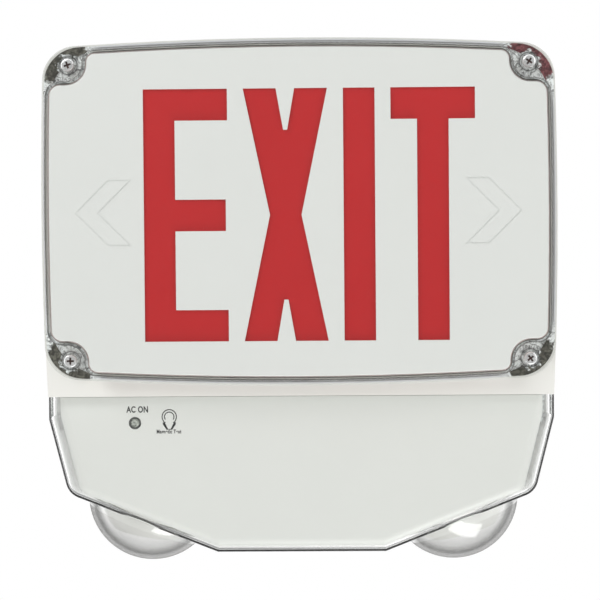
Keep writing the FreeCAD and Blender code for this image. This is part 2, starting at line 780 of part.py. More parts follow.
cans = new_body("capacitors", several=True)
drawing = new_sketch(cans, "Cans", board_face)
for x, z in ((66, 26), (66, 4)):
    draw_circle(drawing, board_left + x, z, 8.0)
pad(cans, drawing, 24)

terminals = new_body("terminal_block")
drawing = new_sketch(terminals, "TerminalBody", board_face)
draw_box(drawing, board_left + 12, 30, board_left + 44, 42)
pad(terminals, drawing, 14)
wells = new_sketch(terminals, "TerminalWells", board_face + 14)
for number in range(4):
    draw_circle(wells, board_left + 16 + 8 * number, 36, 2.4)
cut(terminals, wells, 8, forward=False)

relay = new_body("relay")
drawing = new_sketch(relay, "RelayCase", board_face)
draw_box(drawing, board_right - 24, -30, board_right - 8, -10)
pad(relay, drawing, 16)

battery = new_body("battery_pack")
battery_back = D["back_thick"]
battery_front = battery_back + 46
drawing = new_sketch(battery, "BatteryCase", battery_back)
draw_box(drawing, battery_left, battery_low, battery_right, battery_high)
pad(battery, drawing, 46)
round_edges(battery, front_to_back, size(3), "BatteryRounds")
lugs = new_sketch(battery, "BatteryTerminals", battery_front - 1)
for x in (16, 64):
    draw_box(lugs, battery_left + x - 3, battery_high - 12, battery_left + x + 3, battery_high - 8)
pad(battery, lugs, 7)

strap = new_body("battery_strap")
bridge = new_sketch(strap, "StrapSide", battery_middle - 8, role="YZ_Plane")
low, high = battery_low - D["loose"], battery_high + D["loose"]
draw_loop(bridge, [
    (-standoff_top, low - 14), (-standoff_top, low), (-(battery_front + D["loose"]), low),
    (-(battery_front + D["loose"]), high), (-standoff_top, high), (-standoff_top, high + 14),
    (-(standoff_top + 1.5), high + 14), (-(standoff_top + 1.5), high + 1.5),
    (-(battery_front + D["loose"] + 1.5), high + 1.5),
    (-(battery_front + D["loose"] + 1.5), low - 1.5), (-(standoff_top + 1.5), low - 1.5),
    (-(standoff_top + 1.5), low - 14),
])
pad(strap, bridge, 16)
holes = new_sketch(strap, "StrapHoles", standoff_top)
for spot in STRAP_SPOTS:
    draw_circle(holes, *spot, 1.8)
cut(strap, holes, 1.5)

screw_group("strap_screws", STRAP_SPOTS, standoff_top + 1.5,
            size(2.9), size(1.6), size(1.4), size(8))


# ---------------------------------------------------------------- the lower section
shell_back = D["back_thick"] + D["seal_thick"]
low_seal = new_body("shell_gasket")
drawing = new_sketch(low_seal, "LowSeal", D["back_thick"])
draw_loop(drawing, *lower_outline(size(0.4), size(0.4), D["band_low"] + 0.3, D["shell_round"]))
draw_loop(drawing, *lower_outline(size(3.4), size(3.4), D["band_low"] + 3.3, D["shell_round"] - 3))
pad(low_seal, drawing, D["seal_thick"])

shell = new_body("lamp_shell")
shell_top = D["band_low"] + D["loose"]
drawing = new_sketch(shell, "ShellOutline", shell_back)
draw_loop(drawing, *lower_outline(size(0), size(0), shell_top, D["shell_round"]))
pad(shell, drawing, D["shell_deep"] - shell_back)


def front_rim(edge, depth, top):
    """True for the front edges of a section, leaving out its open top."""
    return at_depth(edge, depth) and edge.BoundBox.ZMin < -top - 1.0


round_edges(shell, lambda edge: front_rim(edge, D["shell_deep"].number, shell_top.number),
            D["shell_edge"], "ShellEdge")
# A shallow step marks each ear beside the band.
ears = new_sketch(shell, "EarSteps", D["shell_deep"])
ear_in = D["shell_half"] - 7
ear_low = D["shell_ear"] - 3
ear_round = size(3.0)
for sign in (-1, 1):
    corners = [
        (ear_in, -(shell_top - 2)), (ear_in, -(ear_low - ear_round)),
        (ear_in + ear_round, -ear_low), (D["shell_half"] + 2, -(ear_low + 4)),
        (D["shell_half"] + 2, -(shell_top - 2)),
    ]
    bends = [None, ear_round, None, None, None]
    if sign < 0:
        corners = [(-x, z) for x, z in reversed(corners)]
        bends = [None, None, ear_round, None, None]
    draw_loop(ears, corners, bends)
cut(shell, ears, 1.3, forward=False)

for name, sign, aim in sides():
    dome = shell.newObject("PartDesign::AdditiveSphere", "Dome_" + name)
    dome.Placement = FreeCAD.Placement(
        FreeCAD.Vector(sign * D["dome_across"].number, -D["dome_deep"].number,
                       -D["dome_down"].number), FreeCAD.Rotation())
    bind(dome, "Placement.Base.x", D["dome_across"] * sign)
    bind(dome, "Placement.Base.y", -D["dome_deep"])
    bind(dome, "Placement.Base.z", -D["dome_down"])
    bind(dome, "Radius", D["dome_radius"])
    doc.recompute()

hollow = new_sketch(shell, "ShellHollow", shell_back)
draw_loop(hollow, *lower_outline(D["shell_wall"], D["shell_wall"], shell_top - 4,
                                 D["shell_round"] - D["shell_wall"]))
cut(shell, hollow, D["shell_deep"] - D["shell_wall"] - shell_back)
inner_edge = (D["shell_deep"] - D["shell_wall"]).number
round_edges(shell, lambda edge: front_rim(edge, inner_edge, shell_top.number)
            and edge.BoundBox.XLength + edge.BoundBox.ZLength > 8,
            D["shell_edge"] - D["shell_wall"], "ShellInnerEdge")

for name, sign, aim in sides():
    dome = shell.newObject("PartDesign::SubtractiveSphere", "DomeHollow_" + name)
    dome.Placement = FreeCAD.Placement(
        FreeCAD.Vector(sign * D["dome_across"].number, -D["dome_deep"].number,
                       -D["dome_down"].number), FreeCAD.Rotation())
    bind(dome, "Placement.Base.x", D["dome_across"] * sign)
    bind(dome, "Placement.Base.y", -D["dome_deep"])
    bind(dome, "Placement.Base.z", -D["dome_down"])
    bind(dome, "Radius", D["dome_radius"] - D["shell_wall"])
    doc.recompute()

boss_long = size(24)
drawing = new_sketch(shell, "ShellBosses", shell_back)
for spot in SHELL_BOSSES:
    draw_circle(drawing, *spot, 3.6)
pad(shell, drawing, boss_long)
drawing = new_sketch(shell, "ShellTaps", shell_back)
for spot in SHELL_BOSSES:
    draw_circle(drawing, *spot, 1.45)
cut(shell, drawing, 14)

inner = new_body("inner_cover")
inner_back = D["back_thick"] + 6
inner_top = shell_top + D["loose"]
inner_round = D["shell_round"] - 3
drawing = new_sketch(inner, "InnerOutline", inner_back)
draw_loop(drawing, *lower_outline(D["inner_side"], D["inner_floor"], inner_top, inner_round))
pad(inner, drawing, D["inner_deep"] - inner_back)
round_edges(inner, lambda edge: front_rim(edge, D["inner_deep"].number, inner_top.number)
            and edge.BoundBox.ZMax < -(inner_top.number + 5),
            D["inner_edge"], "InnerEdge")
drawing = new_sketch(inner, "InnerHollow", inner_back)
draw_loop(drawing, *lower_outline(
    D["inner_side"] + D["inner_wall"], D["inner_floor"] + D["inner_wall"], inner_top - 4,
    inner_round - D["inner_wall"]))
cut(inner, drawing, D["inner_deep"] - D["inner_wall"] - inner_back)
for name, sign, aim in sides():
    mouth = inner.newObject("PartDesign::SubtractiveCylinder", "LampMouth_" + name)
    mouth.Placement = FreeCAD.Placement(
        FreeCAD.Vector(sign * D["dome_across"].number, -D["dome_deep"].number,
                       -D["dome_down"].number),
        FreeCAD.Rotation(FreeCAD.Vector(0, 1, 0), 180.0 - sign * D["floor_lean"].number))
    bind(mouth, "Placement.Base.x", D["dome_across"] * sign)
    bind(mouth, "Placement.Base.y", -D["dome_deep"])
    bind(mouth, "Placement.Base.z", -D["dome_down"])
    bind(mouth, "Placement.Rotation.Angle", 180 - D["floor_lean"] * sign)
    bind(mouth, "Radius", D["ball_radius"] - 0.9)
    bind(mouth, "Height", size(26))
    doc.recompute()
drawing = new_sketch(inner, "BossNotches", inner_back)
for x, z in SHELL_BOSSES[:2]:
    low_x, high_x = size(x) - 4.6, size(x) + 4.6
    draw_box(drawing, low_x, z - 4.6, high_x, z + 4.6)
for x, z in SHELL_BOSSES[2:]:
    draw_box(drawing, x - 4.6, z - 4.6, x + 4.6, z + 4.6)
cut(inner, drawing, shell_back + boss_long + 1 - inner_back)
drawing = new_sketch(inner, "InnerLegs", D["back_thick"])
for spot in INNER_LEGS:
    draw_circle(drawing, *spot, 4.0)
pad(inner, drawing, D["inner_deep"] - D["inner_wall"] - D["back_thick"] + 0.5)
drawing = new_sketch(inner, "LegTaps", D["back_thick"])
for spot in INNER_LEGS:
    draw_circle(drawing, *spot, 1.45)
cut(inner, drawing, 16)

pilot_across = D["shell_half"] - D["pilot_in"]
pilot_spot = (-pilot_across, -(D["band_low"] + D["pilot_drop"]))
panel_back = D["inner_deep"] - D["inner_wall"]
indicator_face = panel_back - 5
PANEL_POSTS = [(pilot_spot[0] + x, pilot_spot[1] + 6.2) for x in (-11, 30)]
drawing = new_sketch(inner, "PanelPosts", indicator_face)
for spot in PANEL_POSTS:
    draw_circle(drawing, *spot, 2.6)
pad(inner, drawing, 5.5)
drawing = new_sketch(inner, "PanelTaps", indicator_face)
for spot in PANEL_POSTS:
    draw_circle(drawing, *spot, 1.05)
cut(inner, drawing, 4)
drawing = new_sketch(inner, "PilotHole", panel_back)
draw_circle(drawing, *pilot_spot, 3.3)
cut(inner, drawing, D["inner_wall"])

indicator = new_body("indicator_board")
drawing = new_sketch(indicator, "IndicatorPlate", indicator_face - D["board_thick"])
draw_box(drawing, pilot_spot[0] - 16, pilot_spot[1] - 8, pilot_spot[0] + 35, pilot_spot[1] + 11)
pad(indicator, drawing, D["board_thick"])
drawing = new_sketch(indicator, "IndicatorHoles", indicator_face - D["board_thick"])
for spot in PANEL_POSTS:
    draw_circle(drawing, *spot, 1.4)
cut(indicator, drawing, D["board_thick"])

pilot = new_body("pilot_light")
drawing = new_sketch(pilot, "PilotSide")
draw_loop(drawing, [
    (0, 0), (2.9, 0), (2.9, panel_back - indicator_face + 1.6),
    (2.3, panel_back - indicator_face + 2.3), (0, panel_back - indicator_face + 2.6),
])
spin(pilot, drawing)
pilot.Placement = FreeCAD.Placement(
    FreeCAD.Vector(pilot_spot[0].number, -indicator_face.number, pilot_spot[1].number),
    FreeCAD.Rotation(FreeCAD.Vector(1, 0, 0), 90))
bind(pilot, "Placement.Base.x", pilot_spot[0])
bind(pilot, "Placement.Base.y", -indicator_face)
bind(pilot, "Placement.Base.z", pilot_spot[1])

reed = new_body("reed_switch")
drawing = new_sketch(reed, "ReedTube", pilot_spot[0] + 20, role="YZ_Plane")
draw_circle(drawing, -(indicator_face + 1.4), pilot_spot[1] - 2, 1.3)
pad(reed, drawing, 13)

panel_screws = new_body("indicator_screws", several=True)
panel_seat = indicator_face - D["board_thick"]
drawing = new_sketch(panel_screws, "PanelHeads", panel_seat - 1.3)
for spot in PANEL_POSTS:
    draw_circle(drawing, *spot, 2.1)
pad(panel_screws, drawing, 1.3)
drawing = new_sketch(panel_screws, "PanelShanks", panel_seat - 0.5)
for spot in PANEL_POSTS:
    draw_circle(drawing, *spot, 1.0)
pad(panel_screws, drawing, 5.4)

rear = new_body("rear_screws", several=True)
drawing = new_sketch(rear, "RearHeads", size(0.5))
for spot in REAR_SCREWS:
    draw_circle(drawing, *spot, 2.9)
pad(rear, drawing, 1.7)
drawing = new_sketch(rear, "RearShanks", size(1.5))
for spot in REAR_SCREWS:
    draw_circle(drawing, *spot, 1.4)
pad(rear, drawing, 14)


# ---------------------------------------------------------------- the lamp heads
def lamp_body(label, sign, several=False, aim=None):
    """A body in a lamp's own frame: centre of the ball, Z in along the lamp's axis."""
    body = new_body(label, several)
    turn = D["floor_lean"] if aim is None else aim
    place(body, D["dome_across"] * sign, D["dome_deep"], -D["dome_down"], turn * (-sign))
    return body


ball_r = D["ball_radius"]
stem_r = D["stem_radius"] - D["turn_gap"]
arm_in = ball_r + D["ball_gap"]
arm_out = arm_in + 2.0
plate_in = size(40)
plate_out = plate_in + 2.5
foot_near = size(37)
foot_far = foot_near + 2.5

for name, sign, aim in sides():
    bracket = lamp_body("lamp_bracket_" + name, sign)
    drawing = new_sketch(bracket, "BracketSide_" + name, -14, role="YZ_Plane")
    draw_loop(drawing, [
        (-14, plate_in), (foot_near, plate_in), (foot_near, 20),
        (foot_far, 20), (foot_far, plate_out), (-14, plate_out),
    ])
    pad(bracket, drawing, 28)
    drawing = new_sketch(bracket, "StemBore_" + name, plate_in, role="XY_Plane")
    draw_circle(drawing, 0, 0, D["stem_radius"])
    cut(bracket, drawing, 2.5)
    drawing = new_sketch(bracket, "FootHoles_" + name, -foot_far)
    for sideways in (-8, 8):
        draw_circle(drawing, sideways, 26, 1.7)
    cut(bracket, drawing, 2.5)

    feet = lamp_body("bracket_screws_" + name, sign, several=True)
    drawing = new_sketch(feet, "FootHeads_" + name, -foot_near)
    for sideways in (-8, 8):
        draw_circle(drawing, sideways, 26, 2.9)
    pad(feet, drawing, 1.7)
    drawing = new_sketch(feet, "FootShanks_" + name, -(foot_far + 4.5))
    for sideways in (-8, 8):
        draw_circle(drawing, sideways, 26, 1.4)
    pad(feet, drawing, 8)

    yoke = lamp_body("lamp_yoke_" + name, sign)
    drawing = new_sketch(yoke, "YokeArms_" + name, -6, role="YZ_Plane")
    draw_loop(drawing, [
        (-arm_out, -6), (-arm_in, -6), (-arm_in, 33), (arm_in, 33), (arm_in, -6),
        (arm_out, -6), (arm_out, 35.5), (-arm_out, 35.5),
    ])
    pad(yoke, drawing, 12)
    drawing = new_sketch(yoke, "YokeStem_" + name, 35, role="XY_Plane")
    draw_circle(drawing, 0, 0, stem_r)
    pad(yoke, drawing, plate_out + 3.5 - 35)
    drawing = new_sketch(yoke, "YokeCollar_" + name, 35, role="XY_Plane")
    draw_circle(drawing, 0, 0, 9.0)
    pad(yoke, drawing, plate_in - 0.2 - 35)
    drawing = new_sketch(yoke, "YokePinHoles_" + name, -(arm_out + 1))
    draw_circle(drawing, 0, 0, D["pin_radius"] + D["turn_gap"])
    cut(yoke, drawing, arm_out * 2 + 2)

    clip = lamp_body("stem_clip_" + name, sign)
    drawing = new_sketch(clip, "ClipRing_" + name, plate_out + 0.2, role="XY_Plane")
    draw_circle(drawing, 0, 0, 9.0)
    draw_circle(drawing, 0, 0, stem_r)
    pad(clip, drawing, 1.6)

    ball = lamp_body("lamp_ball_" + name, sign, aim=aim)
    drawing = new_sketch(ball, "BallSide_" + name)
    mouth = D["ball_mouth"]
    mouth_r = (ball_r * ball_r - mouth * mouth).root()
    shoulder = size(6)
    shoulder_r = (ball_r * ball_r - shoulder * shoulder).root()
    draw_loop(drawing, [
        (mouth_r - 1.4, -mouth), (mouth_r, -mouth), (shoulder_r, shoulder), (20, 22),
        (18.6, 21), (shoulder_r - 1.9, shoulder - 1), (ball_r - 2.6, -6), (26, -16),
        (mouth_r - 1.4, -(mouth - 2)),
    ], [None, ball_r, None, None, None, None, None, None, None])
    spin(ball, drawing)
    drawing = new_sketch(ball, "BallPins_" + name, -(ball_r + 1))
    draw_circle(drawing, 0, 0, D["pin_radius"])
    cut(ball, drawing, ball_r * 2 + 2)

    pins = lamp_body("pivot_pins_" + name, sign, several=True)
    for end, start in (("front", arm_out - 6), ("rear", -(arm_out + 0.2))):
        drawing = new_sketch(pins, "Pin_" + end + "_" + name, start)
        draw_circle(drawing, 0, 0, D["pin_radius"])
        pad(pins, drawing, 6.2)

    lens = lamp_body("lamp_lens_" + name, sign, aim=aim)
    drawing = new_sketch(lens, "LensDisc_" + name, -(mouth - 0.4), role="XY_Plane")
    draw_circle(drawing, 0, 0, mouth_r - 1.5)
    pad(lens, drawing, 1.6)

    cup = lamp_body("lamp_reflector_" + name, sign, aim=aim)
    drawing = new_sketch(cup, "CupSide_" + name)
    rim = mouth_r - 1.8
    rim_in = -(mouth - 2.1)
    draw_loop(drawing, [
        (rim - 1.2, rim_in), (rim, rim_in), (17.6, -14), (9.2, -7.1), (7.4, -7.1), (16.0, -14),
    ])
    spin(cup, drawing)

    lamp = lamp_body("lamp_led_" + name, sign, aim=aim)
    drawing = new_sketch(lamp, "LedSide_" + name)
    draw_loop(drawing, [
        (0, -9.2), (1.6, -8.9), (2.6, -7.8), (2.8, -7), (12, -7), (12, -5.5), (0, -5.5),
    ])
    spin(lamp, drawing)

    sink = lamp_body("lamp_heat_sink_" + name, sign, aim=aim)
    drawing = new_sketch(sink, "SinkDisc_" + name, -5.5, role="XY_Plane")
    draw_circle(drawing, 0, 0, ball_r - 3.2)
    pad(sink, drawing, 2.0)
    drawing = new_sketch(sink, "SinkFins_" + name, -4.0, role="XY_Plane")
    for number in range(5):
        draw_box(drawing, 6 * number - 12.8, -12, 6 * number - 11.2, 12)
    pad(sink, drawing, 18)


# ---------------------------------------------------------------- check and write
doc.recompute()
os.makedirs("parts", exist_ok=True)
for item in doc.Objects:
    for state in item.State:
        if state in ("Invalid", "Error"):
            raise RuntimeError("%s is %s" % (item.Name, state))
for body in PIECES:
    if body.Shape.isNull() or not body.Shape.isValid():
        raise RuntimeError("bad shape: " + body.Label)
for body in PIECES:
    body.Shape.exportStep("parts/%s.step" % body.Label)
print("wrote %d pieces" % len(PIECES))
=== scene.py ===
# %% [markdown]
# # Emergency exit light
# A wet-location combination light: a white box with a clear, screwed-down sign cover over a
# red EXIT stencil, and below it a clear shell with two domes in which white lamp balls turn.
# The CAD solids are the frame. This notebook gives each of them its finish and adds what is
# too fine for the CAD: crossed screws, print, wires and the lamp's small parts.

# %% Load the frame
import bmesh
import bpy
import math
from mathutils import Matrix, Vector


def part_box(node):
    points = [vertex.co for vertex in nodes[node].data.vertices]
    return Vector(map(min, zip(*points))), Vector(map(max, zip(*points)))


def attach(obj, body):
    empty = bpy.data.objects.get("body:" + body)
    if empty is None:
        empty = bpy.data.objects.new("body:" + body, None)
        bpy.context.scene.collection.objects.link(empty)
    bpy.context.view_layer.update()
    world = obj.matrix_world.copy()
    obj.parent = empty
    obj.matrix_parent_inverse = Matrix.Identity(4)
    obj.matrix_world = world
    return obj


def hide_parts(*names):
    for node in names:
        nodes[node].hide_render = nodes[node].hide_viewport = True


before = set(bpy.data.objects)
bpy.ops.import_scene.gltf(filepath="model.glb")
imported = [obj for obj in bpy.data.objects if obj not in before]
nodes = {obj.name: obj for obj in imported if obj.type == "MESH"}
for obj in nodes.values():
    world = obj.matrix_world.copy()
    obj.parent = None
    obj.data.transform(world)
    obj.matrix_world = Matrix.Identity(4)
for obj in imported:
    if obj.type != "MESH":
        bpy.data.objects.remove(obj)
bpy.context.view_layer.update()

# %% [markdown]
# ## Small helpers
# Every finish here is a node tree. Writing one line for each node, value and link is dull, so
# these helpers build the common nodes and hand back the socket that comes out of them. A
# finish then reads like a sum. `plug` takes a socket or a plain value.

# %% Node helpers
def add(tree, kind, **values):
    """A node with some of its plain settings and input values set."""
    node = tree.nodes.new(kind)
    for name, value in values.items():
        if name in node.inputs:
            node.inputs[name].default_value = value
        elif hasattr(node, name):
            setattr(node, name, value)
        else:
            node.inputs[name.replace("_", " ")].default_value = value
    return node


def join(tree, source, output, target, socket):
    tree.links.new(source.outputs[output], target.inputs[socket])


def plug(tree, value, socket):
    if isinstance(value, bpy.types.NodeSocket):
        tree.links.new(value, socket)
    else:
        socket.default_value = value


def plug_all(tree, node, settings):
    for label, value in settings.items():
        plug(tree, value, node.inputs[label])


def maths(tree, operation, *values):
    node = add(tree, "ShaderNodeMath", operation=operation)
    plug_all(tree, node, dict(enumerate(values)))
    return node.outputs["Value"]


def ranged(tree, value, start, stop, low=0.0, high=1.0):
    """How far a value has come from start to stop, as a number from low to high."""
    node = tree.nodes.new("ShaderNodeMapRange")
    plug_all(tree, node, {"Value": value, "From Min": start, "From Max": stop,
                          "To Min": low, "To Max": high})
    return node.outputs["Result"]


def mixed(tree, factor, first, second, blend_type="MIX"):
    node = add(tree, "ShaderNodeMix", data_type="RGBA", blend_type=blend_type)
    plug_all(tree, node, {"Factor": factor, "A": first, "B": second})
    return node.outputs["Result"]


def mixed_shader(tree, factor, first, second):
    node = tree.nodes.new("ShaderNodeMixShader")
    plug_all(tree, node, dict(enumerate((factor, first, second))))
    return node.outputs["Shader"]


def parts_of(tree, kind, output):
    """The X, Y and Z sockets of a vector that a node puts out."""
    split = tree.nodes.new("ShaderNodeSeparateXYZ")
    join(tree, tree.nodes.new(kind), output, split, "Vector")
    return split.outputs


def noise_on_part(tree, **values):
    """Noise that is fixed to the part; the values are the texture's own inputs."""
    noise = add(tree, "ShaderNodeTexNoise", **values)
    join(tree, tree.nodes.new("ShaderNodeTexCoord"), "Object", noise, "Vector")
    return noise


def grey_ramp(tree, value, steps, tint=(1.0, 1.0, 1.0)):
    """A colour ramp through (place, grey) steps. A step may give a colour for its grey."""
    node = tree.nodes.new("ShaderNodeValToRGB")
    for number, (place, grey) in enumerate(steps):
        stops = node.color_ramp.elements
        stop = stops[number] if number < 2 else stops.new(place)
        stop.position = place
        colour = grey if isinstance(grey, tuple) else (grey, grey, grey)
        stop.color = (*(part * share for part, share in zip(colour, tint)), 1.0)
    plug(tree, value, node.inputs["Fac"])
    return node.outputs["Color"]


def begin_material(name, **values):
    """A material with a Principled BSDF, its values set on its own sockets."""
    material = bpy.data.materials.new(name)
    material.use_nodes = True
    tree = material.node_tree
    tree.nodes.clear()
    output = tree.nodes.new("ShaderNodeOutputMaterial")
    shader = add(tree, "ShaderNodeBsdfPrincipled", **values)
    join(tree, shader, "BSDF", output, "Surface")
    return material, tree, shader, output


def reopen(material):
    """The tree and the Principled BSDF of a material, to lay more on its base colour."""
    tree = material.node_tree
    return tree, next(node for node in tree.nodes if node.type == "BSDF_PRINCIPLED")


def over_base(tree, shader, colour, factor=1.0):
    """Lay a colour over a shader's base colour, where the factor says."""
    base = shader.inputs["Base Color"]
    plug(tree, mixed(tree, factor, base.links[0].from_socket, colour), base)


def dress(material, *names):
    """Give CAD nodes one material."""
    for name in names:
        piece = nodes[name]
        piece.data.materials.clear()
        piece.data.materials.append(material)


# %% [markdown]
# ## One shared effect: a lived-in surface
# Nothing real has one flat colour. A moulded or painted face drifts a little in tone and in
# gloss, has a fine grain, and gathers dust where it faces up. All the finishes share this, so
# it is one node group with inputs for how much of each. The group puts out a colour, a
# roughness and a height; the shader itself stays in each material.

# %% The surface group
DUST = (0.42, 0.39, 0.34, 1.0)


def make_surface_group():
    group = bpy.data.node_groups.new("lived_in_surface", "ShaderNodeTree")
    face = group.interface
    face.new_socket("Color", in_out="INPUT", socket_type="NodeSocketColor")
    for label in ("Roughness", "Drift", "Patch Scale", "Grain Scale", "Dust"):
        face.new_socket(label, in_out="INPUT", socket_type="NodeSocketFloat")
    face.new_socket("Color", in_out="OUTPUT", socket_type="NodeSocketColor")
    for label in ("Roughness", "Height"):
        face.new_socket(label, in_out="OUTPUT", socket_type="NodeSocketFloat")
    given = group.nodes.new("NodeGroupInput").outputs
    end = group.nodes.new("NodeGroupOutput")
    patches = noise_on_part(group, Detail=4.0, Roughness=0.55)
    grain = noise_on_part(group, Detail=3.0, Roughness=0.6)
    plug(group, given["Patch Scale"], patches.inputs["Scale"])
    plug(group, given["Grain Scale"], grain.inputs["Scale"])
    # The tone drifts round 1 by the wanted share.
    share = maths(group, "MULTIPLY", maths(group, "SUBTRACT", patches.outputs["Fac"], 0.5),
                  given["Drift"])
    tinted = add(group, "ShaderNodeVectorMath", operation="SCALE")
    plug_all(group, tinted, {0: given["Color"], "Scale": maths(group, "ADD", share, 1.0)})
    # Dust settles on faces that look up.
    up = ranged(group, parts_of(group, "ShaderNodeNewGeometry", "Normal")["Z"], 0.35, 1.0)
    settled = maths(group, "MULTIPLY", up, given["Dust"])
    # Gloss drifts with the same patches as the tone.
    plug_all(group, end, {
        "Color": mixed(group, settled, tinted.outputs["Vector"], DUST),
        "Roughness": maths(group, "MULTIPLY_ADD", share, 1.2, given["Roughness"]),
        "Height": grain.outputs["Fac"]})
    return group


SURFACE = make_surface_group()
print("surface group inputs:", [item.name for item in SURFACE.interface.items_tree])

# %% Finish maker
def surface(tree, shader, colour, roughness, drift, patch, grain, dust, bump, depth):
    """The shared surface, plugged into a shader; gives the group's output sockets."""
    life = tree.nodes.new("ShaderNodeGroup")
    life.node_tree = SURFACE
    plug_all(tree, life, {"Color": (*colour, 1.0), "Roughness": roughness, "Drift": drift,
                          "Patch Scale": patch, "Grain Scale": grain, "Dust": dust})
    relief = add(tree, "ShaderNodeBump", Strength=bump, Distance=depth)
    join(tree, life, "Height", relief, "Height")
    plug_all(tree, shader, {"Base Color": life.outputs["Color"],
                            "Roughness": life.outputs["Roughness"],
                            "Normal": relief.outputs["Normal"]})
    return life.outputs


def finish(name, colour, roughness, drift=0.05, patch=18.0, grain=900.0, dust=0.05,
           bump=0.02, depth=0.0002, **values):
    """An opaque finish: the shared surface on a Principled BSDF."""
    material, tree, shader, output = begin_material(name, **values)
    surface(tree, shader, colour, roughness, drift, patch, grain, dust, bump, depth)
    return material


# %% [markdown]
# ## White mouldings
# The box, the inner cover and the tray are white ABS: a very slightly warm white with a
# satin gloss. The lamp balls are a brighter, smoother moulding, and the stencil is a rolled
# sheet, so its grain is finer and its face flatter.

# %% White finishes
CUT_SIDE = (0.80, 0.52, 0.49, 1.0)
TURNED_BACK_SIDE = (0.62, 0.47, 0.45, 1.0)


def blush_sides(material):
    """Red light from the sheet behind soaks into the stencil's cut and turned-back sides."""
    tree, shader = reopen(material)
    facing = parts_of(tree, "ShaderNodeNewGeometry", "True Normal")
    place = parts_of(tree, "ShaderNodeTexCoord", "Object")
    sideways = maths(tree, "LESS_THAN", maths(tree, "ABSOLUTE", facing["Y"]), 0.3)
    plate_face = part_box("exit_stencil")[0][1]
    deep = maths(tree, "GREATER_THAN", place["Y"], plate_face + 0.0005)
    # The letters end well inside these distances; what lies past them is the outer edge.
    past = [maths(tree, "GREATER_THAN", maths(tree, "ABSOLUTE", place[axis]), reach)
            for axis, reach in (("X", 0.128), ("Z", 0.086))]
    blush = mixed(tree, maths(tree, "MAXIMUM", *past), CUT_SIDE, TURNED_BACK_SIDE)
    over_base(tree, shader, blush, maths(tree, "MULTIPLY", sideways, deep))


housing_white = finish("housing_white", (0.80, 0.80, 0.77), 0.34, drift=0.03, bump=0.05)
panel_white = finish("panel_white", (0.79, 0.80, 0.78), 0.36, drift=0.02, dust=0.0)
sheet_white = finish("sheet_white", (0.80, 0.81, 0.80), 0.30, drift=0.02, grain=1400.0, dust=0.0)
blush_sides(sheet_white)
ball_white = finish("ball_white", (0.70, 0.70, 0.685), 0.24, drift=0.03, dust=0.0)
dress(housing_white, "back_housing", "light_tray")
dress(panel_white, "inner_cover")
dress(sheet_white, "exit_stencil")
dress(ball_white, "lamp_ball_left", "lamp_ball_right")

# %% [markdown]
# ## Clear polycarbonate
# Both covers are clear polycarbonate. It is a dense plastic (index of refraction 1.58), so its
# edges turn dark and bright where light runs along them. A little absorption inside greys
# the thick edges, and fine wipe marks keep the faces from being perfect. The domes are drawn
# thinner and a little hazy, and their rims get painted shade: a darker tint and a grey matt
# film grow toward the rims, so the rims are greyer than the flat walls.

# %% Clear finishes
FLOOR_SLOPE = math.tan(math.radians(21.55))
FLOOR_OVER_BALL = 0.0145
DOME_REACH = 0.041
DOME_CLEAR = (0.925, 0.925, 0.92, 1.0)
DOME_RIM_SHADE = (0.05, 0.05, 0.05, 1.0)
RIM_SHADE_FILM = (0.22, 0.22, 0.215, 1.0)
EDGE_GLOW = (0.33, 0.33, 0.33, 1.0)
WANDERED = 6.5  # bounces


def dome_mask(tree):
    """1 on the domes, which hang below the slanted floor, and 0 on the rest of the shell."""
    low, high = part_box("lamp_ball_right")
    ball_x = (low[0] + high[0]) / 2
    ball_z = high[2] - (high[1] - low[1]) / 2
    place = parts_of(tree, "ShaderNodeTexCoord", "Object")
    across = maths(tree, "ABSOLUTE", place["X"])
    floor = maths(tree, "MULTIPLY_ADD", across, FLOOR_SLOPE,
                  ball_z - FLOOR_OVER_BALL - FLOOR_SLOPE * ball_x)
    below = maths(tree, "LESS_THAN", place["Z"], floor)
    outer = maths(tree, "GREATER_THAN", across, ball_x - DOME_REACH)
    return maths(tree, "MULTIPLY", below, outer)


def clear_plastic(name, tint, density, roughness, scuff, domed=False):
    material, tree, shader, output = begin_material(
        name, Metallic=0.0, IOR=1.58, Transmission_Weight=1.0)
    surface(tree, shader, (0.985, 0.99, 0.985), roughness, drift=0.02, patch=26.0, grain=60.0,
            dust=0.0, bump=scuff, depth=0.0004)
    inside = add(tree, "ShaderNodeVolumeAbsorption", Color=(*tint, 1.0), Density=density)
    join(tree, inside, "Volume", output, "Volume")
    # Light on its way to or from a matt face passes straight through, as it does in thin sheet.
    path = tree.nodes.new("ShaderNodeLightPath").outputs
    matt = maths(tree, "MAXIMUM", path["Is Shadow Ray"], path["Is Diffuse Ray"])
    through = add(tree, "ShaderNodeBsdfTransparent", Color=(0.97, 0.975, 0.97, 1.0))
    look = mixed_shader(tree, matt, shader.outputs["BSDF"], through.outputs["BSDF"])
    # Light that has wandered round inside a wall is painted as a soft grey glow that the wall
    # emits.
    glow = add(tree, "ShaderNodeEmission", Color=EDGE_GLOW, Strength=1.0)
    look = mixed_shader(tree, maths(tree, "GREATER_THAN", path["Ray Depth"], WANDERED), look,
                        glow.outputs["Emission"])
    if domed:
        # On the domes the tint darkens and a grey matt film is laid on toward the rims: painted
        # shade on the rims.
        dome = dome_mask(tree)
        facing = add(tree, "ShaderNodeLayerWeight", Blend=0.5).outputs["Facing"]
        rim = maths(tree, "POWER", facing, 3.0)
        over_base(tree, shader, mixed(tree, rim, DOME_CLEAR, DOME_RIM_SHADE), dome)
        rim_shade_film = add(tree, "ShaderNodeBsdfDiffuse", Color=RIM_SHADE_FILM)
        look = mixed_shader(tree, maths(tree, "MULTIPLY", rim, dome), look,
                            rim_shade_film.outputs["BSDF"])
    plug(tree, look, output.inputs["Surface"])
    material.cycles.emission_sampling = "NONE"
    return material


